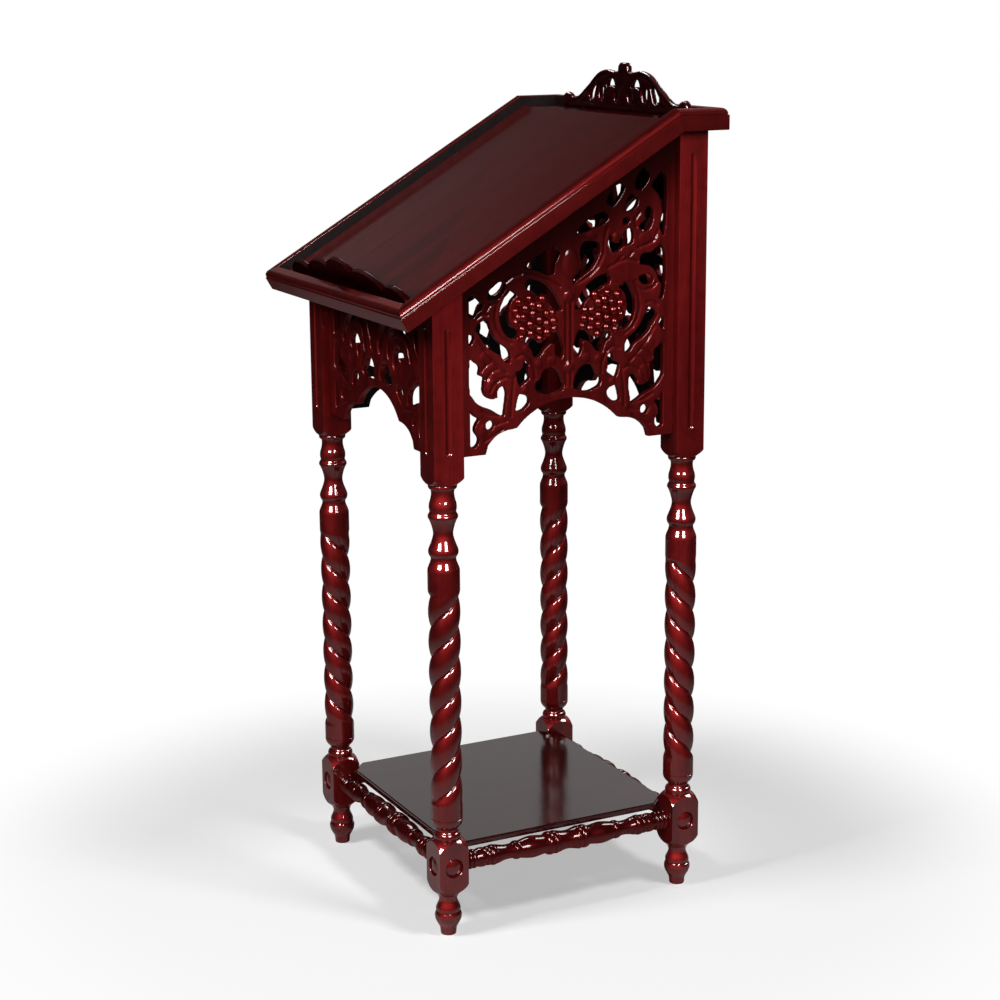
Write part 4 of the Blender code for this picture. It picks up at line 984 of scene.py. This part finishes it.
# Book ledge of five lobes: the ends of the lobes, and the rise of each over the line between its ends
LEDGE_ENDS = ((-LEDGE_HALF, 4), (-131, 14), (-41, 31), (41, 31), (131, 14), (LEDGE_HALF, 4))
LEDGE_RISES = (13, 12, 16, 12, 13)


def make_ledge():
    edge = []
    for start, end, rise in zip(LEDGE_ENDS, LEDGE_ENDS[1:], LEDGE_RISES):
        start, run = Vector(start), Vector(end) - Vector(start)
        radius = (run.length**2 / 4 + rise**2) / (2 * rise)
        reach = math.asin(run.length / 2 / radius)
        upwards = Vector((-run.y, run.x)).normalized()
        for step in range(1 if edge else 0, 25):
            angle = reach * (step / 12 - 1)
            lift = rise - radius * (1 - math.cos(angle))
            edge.append((start + run / 2 + run.normalized() * radius * math.sin(angle) + upwards * lift) * MM)
    outline = [*reversed(edge), *[Vector((x, LEDGE_FOOT)) * MM for x in (-LEDGE_HALF, LEDGE_HALF)]]
    place = SLOPE_FRAME @ Matrix.Translation((0, LEDGE_BACK, BOARD_THICKNESS)) @ ACROSS_X
    ledge = sawn_board("lobed_ledge", [outline], THIN_BOARD, place, 18, 1.6 * MM)
    smooth(ledge, 35)
    fit(level_faces(ledge), ledge_grain, "turned_wood", "book_ledge")


make_ledge()

# Rim: distance inwards from the outer face and height of its section
ROUND_OVER = [math.radians(9 * i) for i in range(11)]
RIM_SECTION = (
    (0.9, 0), (0.25, 0.25), (0, 0.9), (0, 19.6), (0.2, 20.2), (0.7, 20.5), (1.5, 20.6), (1.7, 21.1),
    (1.5, 21.7), *[(1.5 + 8 * (1 - math.cos(angle)), 22 + 8 * math.sin(angle)) for angle in ROUND_OVER],
    (18.6, 30), (19.5, 29.7), (20, 28.8), (20, 0),
)


def moulding(name, start, inwards, run, ends, base):
    """A length of rim through a point, sawn to its mitres; all in the axes of the desk's slope or flat."""
    length = 1.6
    bpy.ops.mesh.primitive_circle_add(vertices=len(RIM_SECTION), radius=0.01, fill_type="NGON")
    piece = named(name)
    start = Vector(start) - Vector(run) * length / 2
    for point, (across, height) in zip(piece.data.vertices, RIM_SECTION):
        point.co = start + Vector(inwards) * across * MM + Vector((0, 0, height * MM))
    edit(piece)
    select_all()
    bpy.ops.mesh.extrude_region_move(TRANSFORM_OT_translate={"value": Vector(run) * length})
    for point, waste in ends:
        waste = Vector(waste).normalized()
        saw_off(Vector(point) - waste * GAP / 2, waste)
    turn_faces_out()
    done()
    piece.matrix_world = base
    settle(piece)
    smooth(piece, 32)
    return level_faces(piece)


def fit_rim(piece, finish, node, inwards):
    """Fits a length of rim; its inner face, turned to the board, is satin and darker than the rim, as painted
    shade.
    """
    fit(piece, finish, "turned_wood", node)
    finish_side(piece, rim_inner_satin_shade, inwards, 0.97)


def make_rims():
    wide = DESK_HALF_WIDTH
    mitre_y, mitre_z = math.cos(DESK_SLOPE / 2), math.sin(DESK_SLOPE / 2)
    ends = [((side * wide, 0, 0), (side, 1, 0)) for side in (-1, 1)]
    front = moulding("moulded_rim_front", (0, 0, 0), (0, 1, 0), (1, 0, 0), ends, SLOPE_FRAME)
    fit_rim(front, rim_across_grain, "rim_front", SLOPE_FRAME.to_3x3() @ Vector((0, 1, 0)))
    ends = [((side * wide, FLAT_LENGTH, 0), (side, -1, 0)) for side in (-1, 1)]
    back = moulding("moulded_rim_back", (0, FLAT_LENGTH, 0), (0, -1, 0), (1, 0, 0), ends, FLAT_FRAME)
    fit_rim(back, rim_across_grain, "rim_back", (0, -1, 0))
    for side, word in ((-1, "left"), (1, "right")):
        corner, back_corner = (side * wide, 0, 0), (side * wide, FLAT_LENGTH, 0)
        ends = [(corner, (-side, -1, 0)), ((0, SLOPE_LENGTH, 0), (0, mitre_y, -mitre_z))]
        slope = moulding(f"moulded_rim_{word}_slope", corner, (-side, 0, 0), (0, 1, 0), ends, SLOPE_FRAME)
        fit_rim(slope, rim_slope_grain, f"rim_{word}_slope", (-side, 0, 0))
        ends = [((0, 0, 0), (0, -mitre_y, -mitre_z)), (back_corner, (-side, 1, 0))]
        flat = moulding(f"moulded_rim_{word}_flat", corner, (-side, 0, 0), (0, 1, 0), ends, FLAT_FRAME)
        fit_rim(flat, rim_deep_grain, f"rim_{word}_flat", (-side, 0, 0))


make_rims()


# Plain pieces keep their CAD shape: lacquered boards and cleats, beech dowels, steel screws
def brushed_steel():
    material, tree, shader, where = new_finish("screw_steel")
    shader["Metallic"].default_value = 1
    lines = noise(tree, where, 900.0, 4.0, 0.7)
    greys = coloured(tree, lines, ((0.3, (0.30, 0.30, 0.31)), (0.7, (0.52, 0.52, 0.53))))
    feed(tree, shader["Base Color"], greys)
    feed(tree, shader["Roughness"], ranged(tree, lines, 0.0, 1.0, 0.22, 0.45))
    feed(tree, shader["Normal"], bump(tree, lines, 0.15, 0.2 * MM))
    return material


screw_steel = brushed_steel()
dowel_wood = mahogany("dowel_beech", UPRIGHT, BEECH, 0.0, 0.5, 0.3, 0.0)
for names, finish in (
    (("desk_board", "cleat_left", "cleat_right"), board_slope_grain), (("top_board",), board_deep_grain),
    (("crest_dowel_left", "crest_dowel_right"), dowel_wood),
    ([f"screw_{side}_{end}" for side in ("left", "right") for end in ("front", "back")], screw_steel),
):
    for name in names:
        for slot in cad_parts[name].material_slots:
            slot.material = finish

# Camera, floor and light
CAMERA_AZIMUTH = math.radians(62.96)
CAMERA_ELEVATION = math.radians(13.36)
CAMERA_ROLL = math.radians(-0.4275)
CAMERA_PLACE = (2.7556, -1.390844, 1.3059)


def looking_from(place, heading):
    """Stands a lamp or the camera at a place, looking against a heading."""
    return Matrix.Translation(place) @ heading.to_track_quat("Z", "Y").to_matrix().to_4x4()


def heading_of(azimuth, elevation):
    """The way from the lectern towards a lamp or the camera."""
    level = math.cos(elevation)
    return Vector((math.sin(azimuth) * level, -math.cos(azimuth) * level, math.sin(elevation)))


camera_data = bpy.data.cameras.new("camera")
camera_data.lens = 77.49
camera_data.sensor_width = 36
camera = placed("camera", camera_data)
view = looking_from(CAMERA_PLACE, heading_of(CAMERA_AZIMUTH, CAMERA_ELEVATION))
camera.matrix_world = view @ Matrix.Rotation(CAMERA_ROLL, 4, "Z")
bpy.context.scene.camera = camera
bpy.context.scene.view_settings.view_transform = "Standard"

bpy.ops.mesh.primitive_circle_add(vertices=96, radius=14, fill_type="NGON", location=(0, MID_Y, 0))
floor = settle(named("studio_floor"))
CARD_PLACE = (-1.7, -0.25, 0)


def paint_floor():
    """The floor is pale to the eye; for the lectern's bounce and reflections its colour is painted as a pool
    of light that fades away from the lectern, with one grey patch painted where a bounce card would stand.
    """
    material, tree, paint, place = new_finish("studio_floor_paint")
    paint["Roughness"].default_value = 0.7
    paint["Specular IOR Level"].default_value = 0.05
    seen = tree.nodes.new("ShaderNodeLightPath").outputs["Is Camera Ray"]
    far = measure(tree, "DISTANCE", place, (0, 0, 0))

    def falling(start, end, high, low):
        """A value that goes from one level to another between two distances from the lectern."""
        return ranged(tree, far, start, end, high, low, **EASED)

    # Painted bounce light: a grey patch on the floor stands in for a reflector card
    card = ranged(tree, measure(tree, "DISTANCE", place, CARD_PLACE), 0.45, 0.9, 0.27, 0.0)
    mirrored = most(tree, falling(0.3, 1.5, 0.55, 0.03), card)
    grey = shade_node(tree, "ShaderNodeMix", Factor=seen, A=mirrored, B=falling(0.7, 2.2, 0.88, 0.30))
    feed(tree, paint["Base Color"], grey.outputs["Result"])
    share = shade_node(tree, "ShaderNodeMix", Factor=seen, B=falling(0.5, 0.95, 0.45, 1.0))
    blend = shade_node(tree, "ShaderNodeMixShader", Fac=share.outputs["Result"])
    feed(tree, blend.inputs[1], tree.nodes["Principled BSDF"].outputs["BSDF"])
    feed(tree, blend.inputs[2], tree.nodes.new("ShaderNodeEmission").outputs["Emission"])
    feed(tree, tree.nodes["Material Output"].inputs["Surface"], blend.outputs["Shader"])
    return material


floor.data.materials.append(paint_floor())

AIM_HEIGHT = 0.6
AMBIENT = 0.02
SHEET_LEVEL = 0.20
BRIGHT_SHEET_LEVEL = 0.66


def light_room():
    """A pale sheet hangs high behind the desk in a dim room; the camera itself sees white."""
    world = bpy.data.worlds.new("studio")
    bpy.context.scene.world = world
    world.use_nodes = True
    tree = world.node_tree
    sky = tree.nodes["Background"].inputs
    sky["Color"].default_value = (1, 1, 1, 1)
    heading = tree.nodes.new("ShaderNodeTexCoord").outputs["Generated"]
    parts = shade_node(tree, "ShaderNodeSeparateXYZ", Vector=heading).outputs
    away = (-math.sin(CAMERA_AZIMUTH), math.cos(CAMERA_AZIMUTH), 0)
    behind = measure(tree, "DOT_PRODUCT", heading, away)
    straight = ranged(tree, behind, 0.76, 0.83, 0.0, 1.0)
    # The sheet is brighter and reaches a little higher on its +Y side
    sheet = times(tree, straight, ranged(tree, parts["Z"], 0.37, 0.47, SHEET_LEVEL, 0.01))
    bright = times(tree, straight, ranged(tree, parts["Y"], 0.24, 0.33, 0.0, BRIGHT_SHEET_LEVEL))
    bright = times(tree, bright, ranged(tree, parts["Z"], 0.42, 0.55, 1.0, 0.0))
    level = times(tree, most(tree, sheet, bright), ranged(tree, parts["Z"], 0.12, 0.24, 0.0, 1.0))
    seen = tree.nodes.new("ShaderNodeLightPath").outputs["Is Camera Ray"]
    feed(tree, sky["Strength"], most(tree, most(tree, level, AMBIENT), seen))


light_room()


def only_on(name, *pieces):
    """What a lamp falls on: these pieces alone."""
    reach = bpy.data.collections.new(name)
    for piece in pieces:
        reach.objects.link(piece)
    return reach


def all_but(name, *pieces):
    """What a lamp falls on: everything except these pieces."""
    reach = only_on(name, *pieces)
    for left_out in reach.collection_objects:
        left_out.light_linking.link_state = "EXCLUDE"
    return reach


def softbox(name, azimuth, elevation, distance, side, power, lights, diffuse=True, glossy=True):
    """A soft square lamp aimed at the lectern's middle; lights says what it falls on."""
    lamp_data = bpy.data.lights.new(name, "AREA")
    lamp_data.shape = "SQUARE"
    lamp_data.size = side
    lamp_data.energy = power
    lamp = placed(name, lamp_data)
    heading = heading_of(math.radians(azimuth), math.radians(elevation))
    lamp.matrix_world = looking_from(Vector((0, MID_Y, AIM_HEIGHT)) + heading * distance, heading)
    lamp.light_linking.receiver_collection = lights
    lamp.visible_diffuse, lamp.visible_glossy = diffuse, glossy


boards = [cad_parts["desk_board"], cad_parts["top_board"]]
shelf = bpy.data.objects["moulded_shelf"]
sloping_rims = [bpy.data.objects[f"moulded_rim_{hand}_slope"] for hand in ("left", "right")]
floor_only = only_on("floor_only", floor)
all_but_floor = all_but("all_but_floor", floor)
turned_and_carved = all_but("turned_and_carved", floor, *boards, shelf)
below_the_rims = all_but("below_the_rims", floor, *boards, shelf, *sloping_rims)
LAMP_DISTANCE = 3.2
# Each main lamp is a pair: one for the gloss alone and one for the matt stain alone
for word, azimuth, elevation, side, glint, power, glinting, lit in (
    ("right", 87, 27, 1.05, 185, 6.6, turned_and_carved, all_but_floor),
    ("left", 32, 32, 1.3, 320, 8.4, turned_and_carved, all_but_floor),
    ("back_right", 190, 40, 1.3, 150, 12.5, below_the_rims, turned_and_carved),
    ("back_left", 262, 56, 1.3, 150, 14, below_the_rims, turned_and_carved),
):
    softbox(f"glint_{word}", azimuth, elevation, LAMP_DISTANCE, side, glint, glinting, diffuse=False)
    softbox(f"softbox_{word}", azimuth, elevation, LAMP_DISTANCE, side, power, lit, glossy=False)
softbox("desk_softbox", 345, 34, 1.35, 0.6, 7.5, only_on("desk_only", *boards), glossy=False)
softbox("shelf_softbox", 60, 30, LAMP_DISTANCE, 1.2, 20, only_on("shelf_only", shelf), glossy=False)
softbox("floor_softbox_right", 112, 53, LAMP_DISTANCE, 0.6, 62, floor_only)
softbox("floor_softbox_left", 5, 53, LAMP_DISTANCE, 0.6, 80, floor_only)
